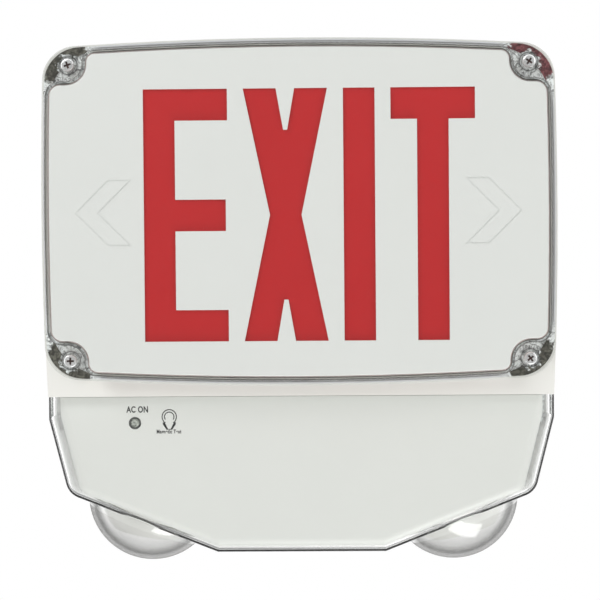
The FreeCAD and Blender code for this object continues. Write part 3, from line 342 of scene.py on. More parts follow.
cover_clear = clear_plastic("cover_clear", (0.80, 0.80, 0.79), 14.0, 0.015, 0.03)
shell_clear = clear_plastic("shell_clear", (0.80, 0.80, 0.79), 10.0, 0.07, 0.03, domed=True)
lens_clear = clear_plastic("lens_clear", (0.90, 0.92, 0.92), 6.0, 0.05, 0.05)
reed_clear = clear_plastic("reed_clear", (0.7, 0.9, 0.8), 30.0, 0.03, 0.02)
dress(cover_clear, "sign_cover")
dress(shell_clear, "lamp_shell")
dress(lens_clear, "lamp_lens_left", "lamp_lens_right")
dress(reed_clear, "reed_switch")

# %% [markdown]
# ## The red diffuser
# A translucent red sheet lies behind the stencil. Unlit, it reads as a flat, slightly soft
# red, so it needs only a little light passing into it.

# %% Red sheet
red_sheet = finish("red_sheet", (0.545, 0.0, 0.003), 0.42, drift=0.10, patch=9.0, dust=0.0,
                   Subsurface_Weight=0.15, Subsurface_Scale=0.002)
dress(red_sheet, "red_diffuser")

# %% [markdown]
# ## Under the clear flange
# The flange presses a grey gasket on the rim of the box, and both show through it. Along the
# sides fine pale and dark lines that follow the bowed edge are painted on the gasket: painted
# highlight and shade from the flange's edge. In the corners a pale ring with a dark line round
# it is painted under each screw collar, on the gasket and on the box's rim: painted light and
# shade from the clear collar and flange. Past it lies a dark, ragged crescent where the gasket
# is wetted, with a painted red glow from the red sheet at the top right corner. All of it
# comes from two distances, so these are one node group: how far a point is past the bowed
# outline (minus is inside), and how far it is from the nearest cover screw.

# %% The flange fields
HEAD = 0.0040  # radius of a cover screw's head
CORNER = 0.0205  # radius of the gasket's corners
SIDE_BOW, END_BOW = 2.6, 2.3  # radii of the bowed sides and of the bowed top and bottom
WET_START, WET_EDGE = 0.0112, 0.0012
WET_STOP, WET_FADE = 0.0198, 0.0018


def make_flange_group():
    group = bpy.data.node_groups.new("flange_fields", "ShaderNodeTree")
    for label in ("Past", "Collar", "Corner", "Ragged", "Red Corner"):
        group.interface.new_socket(label, in_out="OUTPUT", socket_type="NodeSocketFloat")
    end = group.nodes.new("NodeGroupOutput")
    low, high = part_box("cover_gasket")
    screw_low, screw_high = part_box("cover_screws")
    middle = (low[2] + high[2]) / 2
    place = parts_of(group, "ShaderNodeTexCoord", "Object")

    def sums(operation, *values):
        return maths(group, operation, *values)

    def length(first, second):
        squares = sums("ADD", sums("MULTIPLY", first, first), sums("MULTIPLY", second, second))
        return sums("POWER", squares, 0.5)

    def past_bow(along, out, bow, reach):
        bowed = sums("MULTIPLY_ADD", sums("MULTIPLY", along, along), 0.5 / bow, out)
        return sums("SUBTRACT", bowed, reach)

    wide = sums("ABSOLUTE", place["X"])
    tall = sums("ABSOLUTE", sums("SUBTRACT", place["Z"], middle))
    side = past_bow(tall, wide, SIDE_BOW, high[0])
    over = past_bow(wide, tall, END_BOW, high[2] - middle)
    # The corners are rounded, so both distances are taken from inside the corner's circle.
    from_circle = [sums("MAXIMUM", sums("ADD", way, CORNER), 0.0) for way in (side, over)]
    round_past = sums("SUBTRACT", length(*from_circle), CORNER)
    flat_past = sums("MINIMUM", sums("ADD", sums("MAXIMUM", side, over), CORNER), 0.0)
    collar = length(sums("SUBTRACT", wide, screw_high[0] - HEAD),
                    sums("SUBTRACT", tall, (screw_high[2] - screw_low[2]) / 2 - HEAD))
    noise = noise_on_part(group, Scale=260.0, Detail=3.0, Distortion=1.0)
    shaken = sums("MULTIPLY_ADD", noise.outputs["Fac"], 0.0110, collar)
    plug_all(group, end, {
        "Past": sums("ADD", round_past, flat_past),
        "Collar": collar,
        "Corner": ranged(group, sums("MINIMUM", side, over), -0.034, -0.026),
        "Ragged": sums("MULTIPLY", ranged(group, shaken, WET_START, WET_START + WET_EDGE),
                       ranged(group, shaken, WET_STOP + WET_FADE, WET_STOP)),
        # The top right corner, where the crescents get a painted red glow from the red sheet.
        "Red Corner": sums("MULTIPLY", sums("GREATER_THAN", place["X"], 0.0),
                           sums("GREATER_THAN", place["Z"], middle))})
    return group


FLANGE = make_flange_group()


def flange_fields(tree):
    fields = tree.nodes.new("ShaderNodeGroup")
    fields.node_tree = FLANGE
    return fields.outputs


def collar_ring(tree, fields):
    """Painted light and shade from the clear screw collar: pale under it, with a dark line round
    it and mottled grey beyond, crossed by brighter streaks.
    """
    ring = grey_ramp(tree, ranged(tree, fields["Collar"], 0.0030, 0.0100),
                     ((0.0, 0.45), (0.18, 0.95), (0.30, 0.80), (0.36, 0.12),
                      (0.44, 0.66), (0.60, 0.92), (1.0, 0.85)), (0.98, 1.02, 1.03))
    wisp = noise_on_part(tree, Scale=240.0, Detail=3.0, Distortion=2.5)
    light_streak = grey_ramp(tree, wisp.outputs["Fac"], ((0.38, 0.30), (0.48, 0.85), (0.60, 1.20)))
    return mixed(tree, 1.0, ring, light_streak, "MULTIPLY")


def wet_film(tree, fields):
    """The wetted crescents: dark grey, and dull red in the top right corner, where a painted red
    glow from the red sheet lies on them.
    """
    wet = mixed(tree, fields["Red Corner"], (0.100, 0.096, 0.080, 1.0),
                (0.165, 0.050, 0.058, 1.0))
    speck = noise_on_part(tree, Scale=620.0, Detail=3.0, Distortion=0.6)
    patchy = grey_ramp(tree, speck.outputs["Fac"], ((0.40, 0.55), (0.52, 1.0),
                                                    (0.68, (1.9, 1.95, 1.9))))
    return mixed(tree, 1.0, wet, patchy, "MULTIPLY")


def shade_gasket(material):
    tree, shader = reopen(material)
    fields = flange_fields(tree)
    # Pale and dark lines along the bowed edge: painted highlight and shade from the flange's
    # edge.
    painted_edge_lines = grey_ramp(tree, ranged(tree, fields["Past"], -0.0045, 0.0),
                      ((0.0, 0.20), (0.20, 0.52), (0.42, 0.90), (0.60, 0.70),
                       (0.72, 0.18), (0.84, 0.74), (1.0, 0.86)), (0.97, 1.0, 1.04))
    over_base(tree, shader, painted_edge_lines)
    over_base(tree, shader, collar_ring(tree, fields), fields["Corner"])
    over_base(tree, shader, wet_film(tree, fields),
              maths(tree, "MULTIPLY", fields["Corner"], fields["Ragged"]))


def shade_rim(material):
    """Painted light and shade on the box's rim under the flange corners, as the thick clear
    flange shows it there.
    """
    tree, shader = reopen(material)
    fields = flange_fields(tree)
    place = parts_of(tree, "ShaderNodeTexCoord", "Object")
    rim_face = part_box("back_housing")[0][1]
    front = maths(tree, "LESS_THAN", place["Y"], rim_face + 0.0003)
    inside = maths(tree, "LESS_THAN", fields["Past"], -0.0012)
    under = maths(tree, "MULTIPLY", maths(tree, "MULTIPLY", front, inside), fields["Corner"])
    over_base(tree, shader, collar_ring(tree, fields), under)


shade_rim(housing_white)

# %% Rubber, metal and boards
foam = finish("gasket_foam", (0.38, 0.38, 0.38), 0.55, drift=0.3, patch=150.0, grain=500.0,
              bump=0.4)
shade_gasket(foam)
plated = finish("plated_steel", (0.80, 0.79, 0.775), 0.30, drift=0.1, grain=300.0, dust=0.02,
                Metallic=1.0)
zinc = finish("zinc_sheet", (0.55, 0.56, 0.58), 0.38, drift=0.25, patch=60.0, dust=0.02,
              Metallic=1.0)
cast_alloy = finish("cast_alloy", (0.68, 0.68, 0.69), 0.45, drift=0.1, grain=700.0, bump=0.15,
                    Metallic=1.0)
mirror_coat = finish("mirror_coat", (0.86, 0.86, 0.87), 0.08, drift=0.04, dust=0.0,
                     Metallic=1.0)
solder_mask = finish("solder_mask", (0.02, 0.13, 0.045), 0.28, drift=0.35, patch=240.0)
case_black = finish("case_black", (0.03, 0.03, 0.033), 0.42, drift=0.2, bump=0.1)
sleeve_blue = finish("sleeve_blue", (0.03, 0.05, 0.17), 0.3, drift=0.15)
block_green = finish("block_green", (0.03, 0.30, 0.10), 0.35, drift=0.1)
iron_core = finish("iron_core", (0.10, 0.095, 0.09), 0.5, drift=0.3, grain=400.0, bump=0.2)
phosphor = finish("phosphor", (0.80, 0.66, 0.22), 0.35, drift=0.08, dust=0.0)
milky = finish("milky_lens", (0.34, 0.36, 0.33), 0.2, drift=3.2, patch=900.0, dust=0.0)
clip_grey = finish("clip_grey", (0.085, 0.088, 0.085), 0.4, drift=3.6, patch=700.0, dust=0.0)
dress(foam, "cover_gasket", "shell_gasket")
dress(zinc, "battery_strap")
dress(solder_mask, "driver_board", "indicator_board", "led_strip_top", "led_strip_bottom")
dress(case_black, "battery_pack", "relay")
dress(sleeve_blue, "capacitors")
dress(block_green, "terminal_block")
dress(iron_core, "transformer")
dress(phosphor, "sign_leds")
dress(milky, "pilot_light")
dress(plated, "cover_screws", "tray_screws", "board_screws", "strap_screws",
      "indicator_screws", "rear_screws")
for side in ("left", "right"):
    dress(zinc, "lamp_bracket_" + side, "lamp_yoke_" + side, "stem_clip_" + side)
    dress(plated, "bracket_screws_" + side, "pivot_pins_" + side)
    dress(cast_alloy, "lamp_heat_sink_" + side)
    dress(mirror_coat, "lamp_reflector_" + side)
    dress(phosphor, "lamp_led_" + side)

# %% [markdown]
# ## Repeating a small part
# Four cover screws and dozens of little board parts are copies of one shape set on a list of
# spots. That is what Geometry Nodes are for: a tree takes a mesh whose vertices are the
# spots, sets one copy on each and turns each copy a little further than the last, as real
# screws stop at any angle. The result is made a plain mesh, so nothing is left live.

# %% Instancing tree
def new_piece(name, mesh, material=None):
    piece = bpy.data.objects.new(name, mesh)
    bpy.context.scene.collection.objects.link(piece)
    if material is not None:
        mesh.materials.clear()
        mesh.materials.append(material)
    return piece


def begin_geometry(name, **kinds):
    """A geometry tree that takes a mesh and some named inputs, and ends in plain, dressed faces.

    It gives the tree, the sockets that come in, the socket for the made faces and the inputs'
    identifiers.
    """
    tree = bpy.data.node_groups.new(name, "GeometryNodeTree")
    face = tree.interface
    face.new_socket("Geometry", in_out="INPUT", socket_type="NodeSocketGeometry")
    names = {label: face.new_socket(label, in_out="INPUT",
                                    socket_type="NodeSocket" + kind).identifier
             for label, kind in kinds.items()}
    face.new_socket("Geometry", in_out="OUTPUT", socket_type="NodeSocketGeometry")
    given = tree.nodes.new("NodeGroupInput").outputs
    real = tree.nodes.new("GeometryNodeRealizeInstances")
    paint = tree.nodes.new("GeometryNodeSetMaterial")
    join(tree, real, "Geometry", paint, "Geometry")
    plug(tree, given["Finish"], paint.inputs["Material"])
    join(tree, paint, "Geometry", tree.nodes.new("NodeGroupOutput"), "Geometry")
    return tree, given, real.inputs["Geometry"], names


def make_repeat_tree():
    tree, given, made, names = begin_geometry("repeat_on_spots", Part="Object", Axis="Vector",
                                              Turn="Float", Finish="Material")
    part = tree.nodes.new("GeometryNodeObjectInfo")
    points = tree.nodes.new("GeometryNodeMeshToPoints")
    turned = tree.nodes.new("FunctionNodeAxisAngleToRotation")
    copies = tree.nodes.new("GeometryNodeInstanceOnPoints")
    plug(tree, given["Part"], part.inputs["Object"])
    plug(tree, given["Geometry"], points.inputs["Mesh"])
    index = tree.nodes.new("GeometryNodeInputIndex").outputs["Index"]
    plug_all(tree, turned, {"Axis": given["Axis"],
                            "Angle": maths(tree, "MULTIPLY", index, given["Turn"])})
    plug_all(tree, copies, {"Points": points.outputs["Points"],
                            "Instance": part.outputs["Geometry"],
                            "Rotation": turned.outputs["Rotation"]})
    plug(tree, copies.outputs["Instances"], made)
    return tree, names


REPEAT = make_repeat_tree()


def settle(piece):
    """Replace a piece with the plain mesh of its evaluated self."""
    graph = bpy.context.evaluated_depsgraph_get()
    mesh = bpy.data.meshes.new_from_object(piece.evaluated_get(graph), depsgraph=graph)
    piece.modifiers.clear()
    piece.data = mesh
    return piece


def grow(name, points, edges, recipe, **values):
    """A piece made by a geometry tree from points and edges, as a plain mesh."""
    mesh = bpy.data.meshes.new(name)
    mesh.from_pydata([tuple(point) for point in points], edges, [])
    piece = new_piece(name, mesh)
    live = piece.modifiers.new(name, "NODES")
    live.node_group, names = recipe
    for label, value in values.items():
        live[names[label]] = value
    return settle(piece)


def repeat(name, part, spots, material, axis=(0.0, 1.0, 0.0), turn=0.0):
    """Copies of a part on spots, as one plain piece."""
    piece = grow(name, spots, [], REPEAT, Part=part, Axis=axis, Turn=turn, Finish=material)
    bpy.data.objects.remove(part)
    print(name, "copies:", len(spots), "faces:", len(piece.data.polygons))
    return piece


def fit_out(piece):
    """What is added to the box rides its body."""
    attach(piece, "light")
    return piece


# %% [markdown]
# ## The cover screws
# Four plated pan head screws with a crossed recess hold the sign cover. The head is a turned
# profile, the recess is cut with a tapered cross, and below the head a few thread crests show
# through the clear flange.

# %% Crossed screw
def as_mesh(name, work):
    mesh = bpy.data.meshes.new(name)
    work.to_mesh(mesh)
    work.free()
    return mesh


def turned_mesh(name, profile, steps=40, loop=False):
    """A closed solid turned round Y from (radius, y) points.

    The profile starts and ends on the axis, or is a loop that never meets it.
    """
    work = bmesh.new()
    line = [work.verts.new((radius, depth, 0.0)) for radius, depth in profile]
    ends = line[1:] + line[:1] if loop else line[1:]
    edges = [work.edges.new(pair) for pair in zip(line, ends)]
    bmesh.ops.spin(work, geom=line + edges, cent=(0, 0, 0), axis=(0, 1, 0),
                   angle=math.tau, steps=steps, use_duplicate=False)
    bmesh.ops.remove_doubles(work, verts=work.verts, dist=1e-7)
    bmesh.ops.recalc_face_normals(work, faces=work.faces)
    return as_mesh(name, work)


def smooth(piece, angle=0.6):
    for polygon in piece.data.polygons:
        polygon.use_smooth = True
    piece.data.set_sharp_from_angle(angle=angle)
    return piece


def crossed_screw(head_radius, head_thick, shank_radius, length, pitch=0.0012):
    """A pan head screw at the origin: its seat is at y = 0 and its head faces -Y."""
    profile = [(0.0, -head_thick)]
    for step in range(9):
        bend = math.radians(90.0 * step / 8)
        profile.append((head_radius * (0.66 + 0.34 * math.sin(bend)),
                        -head_thick * (0.55 + 0.38 * math.cos(bend))))
    profile += [(head_radius, -0.0001), (head_radius * 0.97, 0.0), (shank_radius, 0.0)]
    depth = pitch
    while depth < length - shank_radius:
        profile += [(shank_radius * 0.8, depth), (shank_radius, depth + pitch * 0.5)]
        depth += pitch
    profile.append((0.0, length))
    screw = new_piece("screw", turned_mesh("screw", profile))
    work = bmesh.new()
    for quarter in (0.0, 90.0):
        turn = Matrix.Rotation(math.radians(quarter), 4, "Y")
        for corner in bmesh.ops.create_cube(work, size=1.0)["verts"]:
            deep = corner.co.y > 0
            wide = head_radius * (0.38 if deep else 0.66)
            thick = head_radius * (0.10 if deep else 0.17)
            corner.co = turn @ Vector((math.copysign(wide, corner.co.x),
                                       -head_thick * (0.15 if deep else 1.3),
                                       math.copysign(thick, corner.co.z)))
    cutter = new_piece("cutter", as_mesh("cutter", work))
    cut = screw.modifiers.new("recess", "BOOLEAN")
    cut.object = cutter
    cut.operation = "DIFFERENCE"
    cut.use_self = True
    settle(screw)
    bpy.data.objects.remove(cutter)
    return smooth(screw, 0.5)


def darken_recess(material):
    """The crossed recess holds shadow and a little dirt."""
    tree, shader = reopen(material)
    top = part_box("cover_screws")[0][1]
    place = parts_of(tree, "ShaderNodeTexCoord", "Object")
    deep = ranged(tree, place["Y"], top + 0.0004, top + 0.0009)
    near = maths(tree, "LESS_THAN", flange_fields(tree)["Collar"], 0.0029)
    over_base(tree, shader, (0.20, 0.14, 0.13, 1.0), maths(tree, "MULTIPLY", deep, near))


nickel = finish("nickel_screw", (0.82, 0.835, 0.84), 0.26, drift=0.2, patch=500.0, grain=300.0,
                dust=0.02, Metallic=0.5)
darken_recess(nickel)
HEAD_THICK, SHANK = 0.0024, 0.0017
low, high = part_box("cover_screws")
seat = low[1] + HEAD_THICK
spots = [(x, seat, z) for x in (low[0] + HEAD, high[0] - HEAD)
         for z in (low[2] + HEAD, high[2] - HEAD)]
screws = repeat("cover_screw_set", crossed_screw(HEAD, HEAD_THICK, SHANK, high[1] - seat),
                spots, nickel, turn=1.25)
fit_out(screws)
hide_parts("cover_screws")

# %% [markdown]
# ## Print on the lower panel
# The panel carries small dark print: AC ON over the pilot light, and a horseshoe magnet where
# a magnet held to the cover starts the test. Print is ink a few hundredths of a millimetre
# thick, so it is a thin flat mesh laid just on the panel. The magnet is drawn as ribbons along
# its outlines.

# %% Ink
ink = finish("print_ink", (0.035, 0.035, 0.037), 0.55, drift=0.2, dust=0.0)
panel_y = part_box("inner_cover")[0][1]
pilot_low, pilot_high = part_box("pilot_light")
PRINT_Y = panel_y - 0.00005
CAPITAL = 0.72  # height of a capital as a share of the font's size
NARROW = 0.74
pilot_x = (pilot_low[0] + pilot_high[0]) / 2
pilot_z = (pilot_low[2] + pilot_high[2]) / 2


def ink_of(name, curve):
    """The flat faces of a text curve as a piece of ink."""
    text = bpy.data.objects.new(name, curve)
    bpy.context.scene.collection.objects.link(text)
    graph = bpy.context.evaluated_depsgraph_get()
    mesh = bpy.data.meshes.new_from_object(text.evaluated_get(graph), depsgraph=graph)
    bpy.data.objects.remove(text)
    return new_piece(name, mesh, ink)


def printed_word(name, words, tall, x, z):
    """A word as flat ink, centred on (x, z) on the panel."""
    curve = bpy.data.curves.new(name, "FONT")
    curve.body = words
    curve.size = tall / CAPITAL
    curve.offset = tall * 0.042
    curve.align_x = "CENTER"
    curve.align_y = "CENTER"
    curve.space_character = 1.08
    piece = ink_of(name, curve)
    piece.data.transform(Matrix.Translation((x, PRINT_Y, z)) @ Matrix.Scale(NARROW, 4, (1, 0, 0))
                         @ Matrix.Rotation(math.pi / 2, 4, "X"))
    return fit_out(piece)


def ribbons(name, paths, width):
    """Flat strips of ink along closed or open paths of (x, z) points."""
    vertices, faces = [], []
    for path, closed in paths:
        count = len(path)
        base = len(vertices)
        for number, (x, z) in enumerate(path):
            before = path[number - 1] if closed or number else path[0]
            after = path[(number + 1) % count] if closed or number < count - 1 else path[-1]
            along = Vector((after[0] - before[0], after[1] - before[1])).normalized()
            side = Vector((-along.y, along.x)) * width / 2
            vertices.append((x + side.x, PRINT_Y, z + side.y))
            vertices.append((x - side.x, PRINT_Y, z - side.y))
        for number in range(count if closed else count - 1):
            a = base + 2 * number
            b = base + 2 * ((number + 1) % count)
            faces.append((a, a + 1, b + 1, b))
    mesh = bpy.data.meshes.new(name)
    mesh.from_pydata(vertices, [], faces)
    work = bmesh.new()
    work.from_mesh(mesh)
    for polygon in work.faces:
        if polygon.normal.y > 0:
            polygon.normal_flip()
    work.to_mesh(mesh)
    work.free()
    return fit_out(new_piece(name, mesh, ink))


def magnet_outline(radius, foot, x, z):
    """A horseshoe: a round top whose legs close in toward the poles below."""
    path = []
    for step in range(25):
        angle = math.radians(-35.0 + 250.0 * step / 24)
        path.append((x + radius * math.cos(angle), z + radius * math.sin(angle)))
    path.append((x - foot, z - radius * 1.75))
    path.append((x + foot, z - radius * 1.75))
    return path


# %% Words and the magnet mark
magnet_x, magnet_z = pilot_x + 0.0211, pilot_z + 0.0038
outer = magnet_outline(0.0044, 0.0011, magnet_x, magnet_z)
inner = magnet_outline(0.0029, 0.0006, magnet_x, magnet_z)


def both_sides(*spots):
    """Open paths through (across, down) spots, left and right of the magnet's middle."""
    return [([(magnet_x + side * across, magnet_z - down) for across, down in spots], False)
            for side in (-1, 1)]


poles = both_sides((0.0041, 0.0040), (0.0023, 0.0033))
legs = both_sides((0.0036, 0.0042), (0.0012, 0.0078))
ribbons("magnet_mark", [(outer, True), (inner[:-2], False)] + poles, 0.00060)
ribbons("magnet_poles", legs, 0.0011)
printed_word("print_ac_on", "AC ON", 0.0038, pilot_x + 0.0016, pilot_z + 0.0082)
printed_word("print_test", "Magnetic Test", 0.0024, magnet_x - 0.0003, magnet_z - 0.0092)

# %% [markdown]
# ## The pilot light's clip
# The pilot light looks out through a black clip ring pressed into the panel. A ring is a turned
# profile that never meets the axis.

# %% Clip ring
clip = turned_mesh("pilot_clip", [(0.0029, -0.0003), (0.0036, -0.0003), (0.0038, 0.0),
                                  (0.0032, 0.0), (0.0032, 0.0015), (0.0029, 0.0015)],
                   steps=48, loop=True)
clip.transform(Matrix.Translation((pilot_x, panel_y, pilot_z)))
fit_out(smooth(new_piece("pilot_clip", clip, clip_grey), 0.5))

# %% [markdown]
# ## Wires
# Every wire is a round tube along a path of points with its bends rounded, so a second tree
# makes them all: the points become a curve, a fillet rounds it and a circle is swept along it.
# Battery leads, sign leads, lamp leads and the pilot board's leads ride the body of the light.

# %% Wire tree
def make_wire_tree():
    tree, given, made, names = begin_geometry("wire_along_points", Radius="Float",
                                              Bend="Float", Finish="Material")
    curve = tree.nodes.new("GeometryNodeMeshToCurve")
    bends = add(tree, "GeometryNodeFilletCurve", mode="POLY", Count=5)
    ring = add(tree, "GeometryNodeCurvePrimitiveCircle", Resolution=10)
    tube = add(tree, "GeometryNodeCurveToMesh", Fill_Caps=True)
    plug(tree, given["Geometry"], curve.inputs["Mesh"])
    plug_all(tree, bends, {"Curve": curve.outputs["Curve"], "Radius": given["Bend"]})
    plug(tree, given["Radius"], ring.inputs["Radius"])
    plug_all(tree, tube, {"Curve": bends.outputs["Curve"],
                          "Profile Curve": ring.outputs["Curve"]})
    plug(tree, tube.outputs["Mesh"], made)
    return tree, names


WIRE = make_wire_tree()


def wire(name, points, material, radius=0.0007, bend=0.005):
    edges = [(number, number + 1) for number in range(len(points) - 1)]
    piece = grow(name, points, edges, WIRE, Radius=radius, Bend=bend, Finish=material)
    return fit_out(smooth(piece))


pvc_red = finish("pvc_red", (0.45, 0.02, 0.02), 0.4, drift=0.15)
pvc_black = finish("pvc_black", (0.025, 0.025, 0.027), 0.4, drift=0.2)
pvc_white = finish("pvc_white", (0.74, 0.73, 0.70), 0.4, drift=0.1)

# %% Wire routes
board_low, board_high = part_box("driver_board")
cell_low, cell_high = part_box("battery_pack")
strip_low, strip_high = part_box("led_strip_top")
lower_low, lower_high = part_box("led_strip_bottom")
pilot_board_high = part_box("indicator_board")[1]
face_y = board_low[1] - 0.0006
lug_z = cell_high[2] - 0.010
over_y = cell_low[1] - 0.004
for name, lug_x, rise, material in (("lead_battery_minus", cell_low[0] + 0.016, 0.0, pvc_black),
                                    ("lead_battery_plus", cell_low[0] + 0.064, 0.004, pvc_red)):
    wire(name, [(lug_x, cell_low[1] - 0.0006, lug_z), (lug_x, over_y, lug_z + rise),
                (cell_low[0] - 0.009, over_y, lug_z + rise),
                (cell_low[0] - 0.017, over_y / 2, lug_z - 0.006 + rise),
                (board_high[0] - 0.003, face_y - 0.006, lug_z - 0.014 + rise),
                (board_high[0] - 0.004, face_y, lug_z - 0.015 + rise)], material, 0.0009)
hole_z = (strip_low[2] + strip_high[2]) / 2 + 0.0012
for name, side, material in (("lead_sign_plus", 1, pvc_red), ("lead_sign_minus", -1, pvc_white)):
    wire(name, [(board_high[0] - 0.007 + side * 0.0015, face_y, board_high[2] - 0.012),
                (board_high[0] - 0.007 + side * 0.0015, face_y - 0.018, board_high[2] + 0.008),
                (side * 0.0015 - 0.004, strip_high[1] + 0.010, hole_z),
                (side * 0.0015, strip_high[1] + 0.005, hole_z),
                (side * 0.0015, strip_high[1] + 0.0001, hole_z)], material)
    wire("jumper_" + name[10:], [
        (strip_high[0] - 0.006, strip_low[1] - 0.0006, strip_low[2] + 0.001 + side * 0.0008),
        (strip_high[0] + 0.008 + side * 0.0009, strip_high[1] - 0.0008, strip_low[2] - 0.004),
        (strip_high[0] + 0.008 + side * 0.0009, strip_high[1] - 0.0008, lower_high[2] + 0.004),
        (strip_high[0] - 0.006, lower_low[1] - 0.0006, lower_high[2] - 0.001 - side * 0.0008),
    ], material, 0.0006)

# %% Lamp and pilot leads
passage_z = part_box("inner_cover")[1][2] + 0.012
for hand, side in (("left", -1), ("right", 1)):
    clip_low, clip_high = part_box("stem_clip_" + hand)
    yoke_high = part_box("lamp_yoke_" + hand)[1]
    stem_x = (clip_low[0] + clip_high[0]) / 2 + side * -0.002
    stem_y = (clip_low[1] + clip_high[1]) / 2
    for pole, shift, material in (("plus", 0.001, pvc_red), ("minus", -0.001, pvc_black)):
        near = stem_y + shift
        wire("lead_lamp_%s_%s" % (hand, pole), [
            (board_high[0] - 0.012 + side * 0.004, face_y, board_low[2] + 0.003 + shift),
            (board_high[0] - 0.012 + side * 0.004, face_y - 0.007, board_low[2] - 0.010),
            (side * 0.007, -0.020 + shift, passage_z + 0.012),
            (side * 0.007, -0.020 + shift, passage_z - 0.018),
            (side * 0.034, -0.034 + shift, yoke_high[2] + 0.010),
            (stem_x - side * 0.012, near, yoke_high[2] + 0.009),
            (stem_x - side * 0.0015, near, yoke_high[2] + 0.005),
            (stem_x, near, yoke_high[2] + 0.0012)], material, 0.0008)
for pole, shift, material in (("plus", 0.0012, pvc_red), ("minus", -0.0012, pvc_white)):
    wire("lead_pilot_" + pole, [
        (board_high[0] - 0.020, face_y, board_low[2] + 0.004 + shift),
        (board_high[0] - 0.020, face_y - 0.006, board_low[2] - 0.012),
        (shift, -0.024, passage_z + 0.010), (shift, -0.024, passage_z - 0.022),
        (-0.034, -0.058, pilot_board_high[2] - 0.008),
        (pilot_board_high[0] + 0.004, pilot_board_high[1] + 0.003,
         pilot_board_high[2] - 0.008 + shift),
        (pilot_board_high[0] - 0.004, pilot_board_high[1] + 0.0006,
         pilot_board_high[2] - 0.008 + shift)], material, 0.0006, 0.004)

# %% [markdown]
# ## Small parts on the boards
# The driver board carries a row of resistors and four diodes, each LED strip carries chip
# resistors between its LEDs, and the terminal block has a clamp screw in each well. Each kind
# is one turned or boxed part, set on its spots by the instancing tree.

# %% Board parts
def axial_part(name, body, thick):
    """A body with two leads along Z: half its length, and its radius, are given."""
    profile = [(0.0, -body * 2.0), (0.0003, -body * 2.0), (0.0003, -body), (thick * 0.8, -body),
               (thick, -body * 0.8), (thick * 0.86, -body * 0.5), (thick * 0.86, body * 0.5),
               (thick, body * 0.8), (thick * 0.8, body), (0.0003, body),
               (0.0003, body * 2.0), (0.0, body * 2.0)]
    part = new_piece(name, turned_mesh(name, profile, 14))
    part.data.transform(Matrix.Rotation(math.pi / 2, 4, "X"))
    return smooth(part)


def box_part(name, wide, deep, tall):
    work = bmesh.new()
    bmesh.ops.create_cube(work, size=1.0)
    bmesh.ops.scale(work, vec=(wide, deep, tall), verts=work.verts)
    return new_piece(name, as_mesh(name, work))


tan_body = finish("resistor_tan", (0.45, 0.30, 0.16), 0.45, drift=0.4, patch=900.0)
row_z = board_low[2] + 0.0085
first, last = board_low[0] + 0.012, board_high[0] - 0.012
row = [(first + (last - first) * number / 9, board_low[1] - 0.0013, row_z)
       for number in range(10)]
fit_out(repeat("driver_resistors", axial_part("resistor", 0.0032, 0.0012), row, tan_body))
row = [(board_high[0] - 0.036 + 0.006 * number, board_low[1] - 0.0014, board_high[2] - 0.008)
       for number in range(4)]
fit_out(repeat("driver_diodes", axial_part("diode", 0.0026, 0.0013), row, case_black))
led_low, led_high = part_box("sign_leds")
pitch = (led_high[0] - led_low[0] - 0.005) / 8
spots = [(led_low[0] + 0.0025 + pitch * (number + 0.5), strip_low[1] - 0.0003, z)
         for z in ((strip_low[2] + strip_high[2]) / 2, (lower_low[2] + lower_high[2]) / 2)
         for number in range(8)]
fit_out(repeat("strip_resistors", box_part("chip", 0.0020, 0.0006, 0.0012), spots, case_black))
block_low, block_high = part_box("terminal_block")
spots = [(block_low[0] + 0.004 + 0.008 * number, block_low[1] + 0.0079,
          (block_low[2] + block_high[2]) / 2) for number in range(4)]
fit_out(repeat("terminal_clamps", crossed_screw(0.0021, 0.0008, 0.0010, 0.0030, 0.0006), spots,
               plated, turn=0.7))

# %% [markdown]
# ## Camera and light
# The light hangs level with the viewer's eyes: the camera is 1.7 m away, a little above the
# middle and a little to the right, with a long lens. The room is plain: one large soft lamp
# above on the left, a weaker one on the right, one below for the domes, and a world that
# lights the matt faces evenly. Glossy and clear pieces see the same white backdrop as the
# camera does behind the light, in a dimmer room, so that their edges stay readable.

# %% Camera
DISTANCE = 1.70
SENSOR = 36.0  # mm
VIEW_WIDTH = 0.36288  # width of what the camera sees at the part
TARGET = Vector((0.0005, -0.104, -0.0516))
PITCH, YAW, ROLL = math.radians(2.0), math.radians(1.5), math.radians(0.45)


def place_camera():
    away = Vector((math.sin(YAW) * math.cos(PITCH), -math.cos(YAW) * math.cos(PITCH),
                   math.sin(PITCH)))
    camera_data = bpy.data.cameras.new("camera")
    camera = bpy.data.objects.new("camera", camera_data)
    bpy.context.scene.collection.objects.link(camera)
    turn = (-away).to_track_quat("-Z", "Y").to_matrix().to_4x4()
    camera.matrix_world = (Matrix.Translation(TARGET + away * DISTANCE) @ turn
                           @ Matrix.Rotation(-ROLL, 4, "Z"))
    camera_data.sensor_width = SENSOR
    camera_data.lens = SENSOR * DISTANCE / VIEW_WIDTH
    bpy.context.scene.camera = camera
    return camera


camera = place_camera()
print("camera at", [round(value, 3) for value in camera.location], "lens", camera.data.lens)

# %% Lights and world
def soft_lamp(name, place, aim, size, power):
    data = bpy.data.lights.new(name, "AREA")
    data.shape = "RECTANGLE"
    data.size, data.size_y = size
    data.energy = power
    lamp = bpy.data.objects.new(name, data)
    bpy.context.scene.collection.objects.link(lamp)
    lamp.location = place
    lamp.rotation_euler = (Vector(aim) - Vector(place)).to_track_quat("-Z", "Y").to_euler()
    return lamp


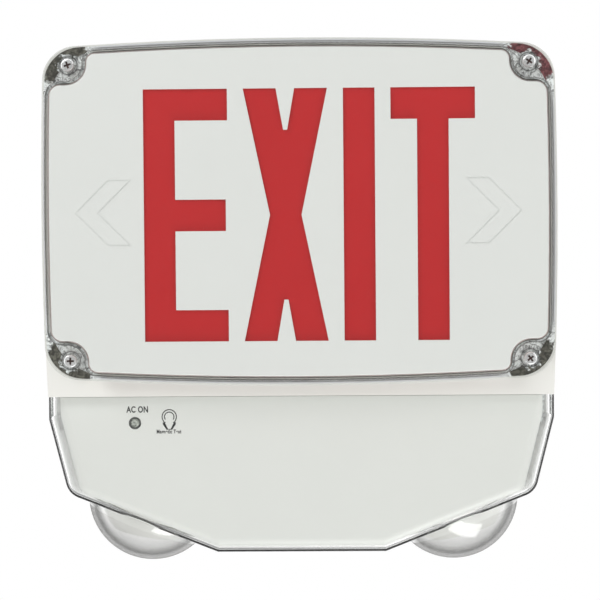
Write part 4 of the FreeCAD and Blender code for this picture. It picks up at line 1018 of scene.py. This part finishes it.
soft_lamp("key", (-0.9, -1.3, 1.1), (0, 0, -0.05), (0.9, 0.7), 12.0)
soft_lamp("fill", (1.2, -1.2, 0.3), (0, 0, -0.05), (0.8, 1.0), 4.0)
soft_lamp("low", (0.45, -0.55, -1.30), (0, 0, -0.15), (1.1, 0.6), 6.5)


def make_world():
    """Even light for the faces; for gloss and clear pieces a white backdrop in a dimmer room."""
    world = bpy.data.worlds.new("studio")
    world.use_nodes = True
    bpy.context.scene.world = world
    tree = world.node_tree
    tree.nodes.clear()
    way = parts_of(tree, "ShaderNodeTexCoord", "Generated")
    path = tree.nodes.new("ShaderNodeLightPath").outputs

    def background(colour, strength):
        node = tree.nodes.new("ShaderNodeBackground")
        plug_all(tree, node, {"Color": colour, "Strength": strength})
        return node.outputs["Background"]

    # Pale things below light the part from there a little more than the room does from above.
    even = background((1.0, 0.995, 0.975, 1.0), ranged(tree, way["Z"], -1.0, 1.0, 1.05, 0.40))
    # The room as a mirror or a lens sees it, by how far a direction looks toward the backdrop.
    back = ranged(tree, way["Y"], -1.0, 1.0)
    greys = grey_ramp(tree, back, ((0.0, 0.17), (0.10, 0.17), (0.35, 0.14), (0.80, 0.24),
                                   (0.94, 1.0)))
    # Soft boxes beside and above the light give rounded edges and screw heads their highlights.
    boxes = grey_ramp(tree, back, ((0.20, 0.0), (0.30, 1.0), (0.62, 1.0), (0.72, 0.0)))
    gleam = maths(tree, "MULTIPLY", path["Is Glossy Ray"], boxes)
    power = ranged(tree, way["Z"], -0.8, -0.1, 1.5, 13.0)
    room = background(greys, maths(tree, "MULTIPLY_ADD", gleam, power, 1.0))
    shiny = maths(tree, "MULTIPLY",
                  maths(tree, "MAXIMUM", path["Is Glossy Ray"], path["Is Transmission Ray"]),
                  maths(tree, "LESS_THAN", path["Diffuse Depth"], 0.5))
    unseen = mixed_shader(tree, shiny, even, room)
    seen = mixed_shader(tree, path["Is Camera Ray"], unseen,
                        background((1.0, 1.0, 1.0, 1.0), 1.0))
    plug(tree, seen, tree.nodes.new("ShaderNodeOutputWorld").inputs["Surface"])


make_world()
bpy.context.scene.view_settings.view_transform = "Standard"
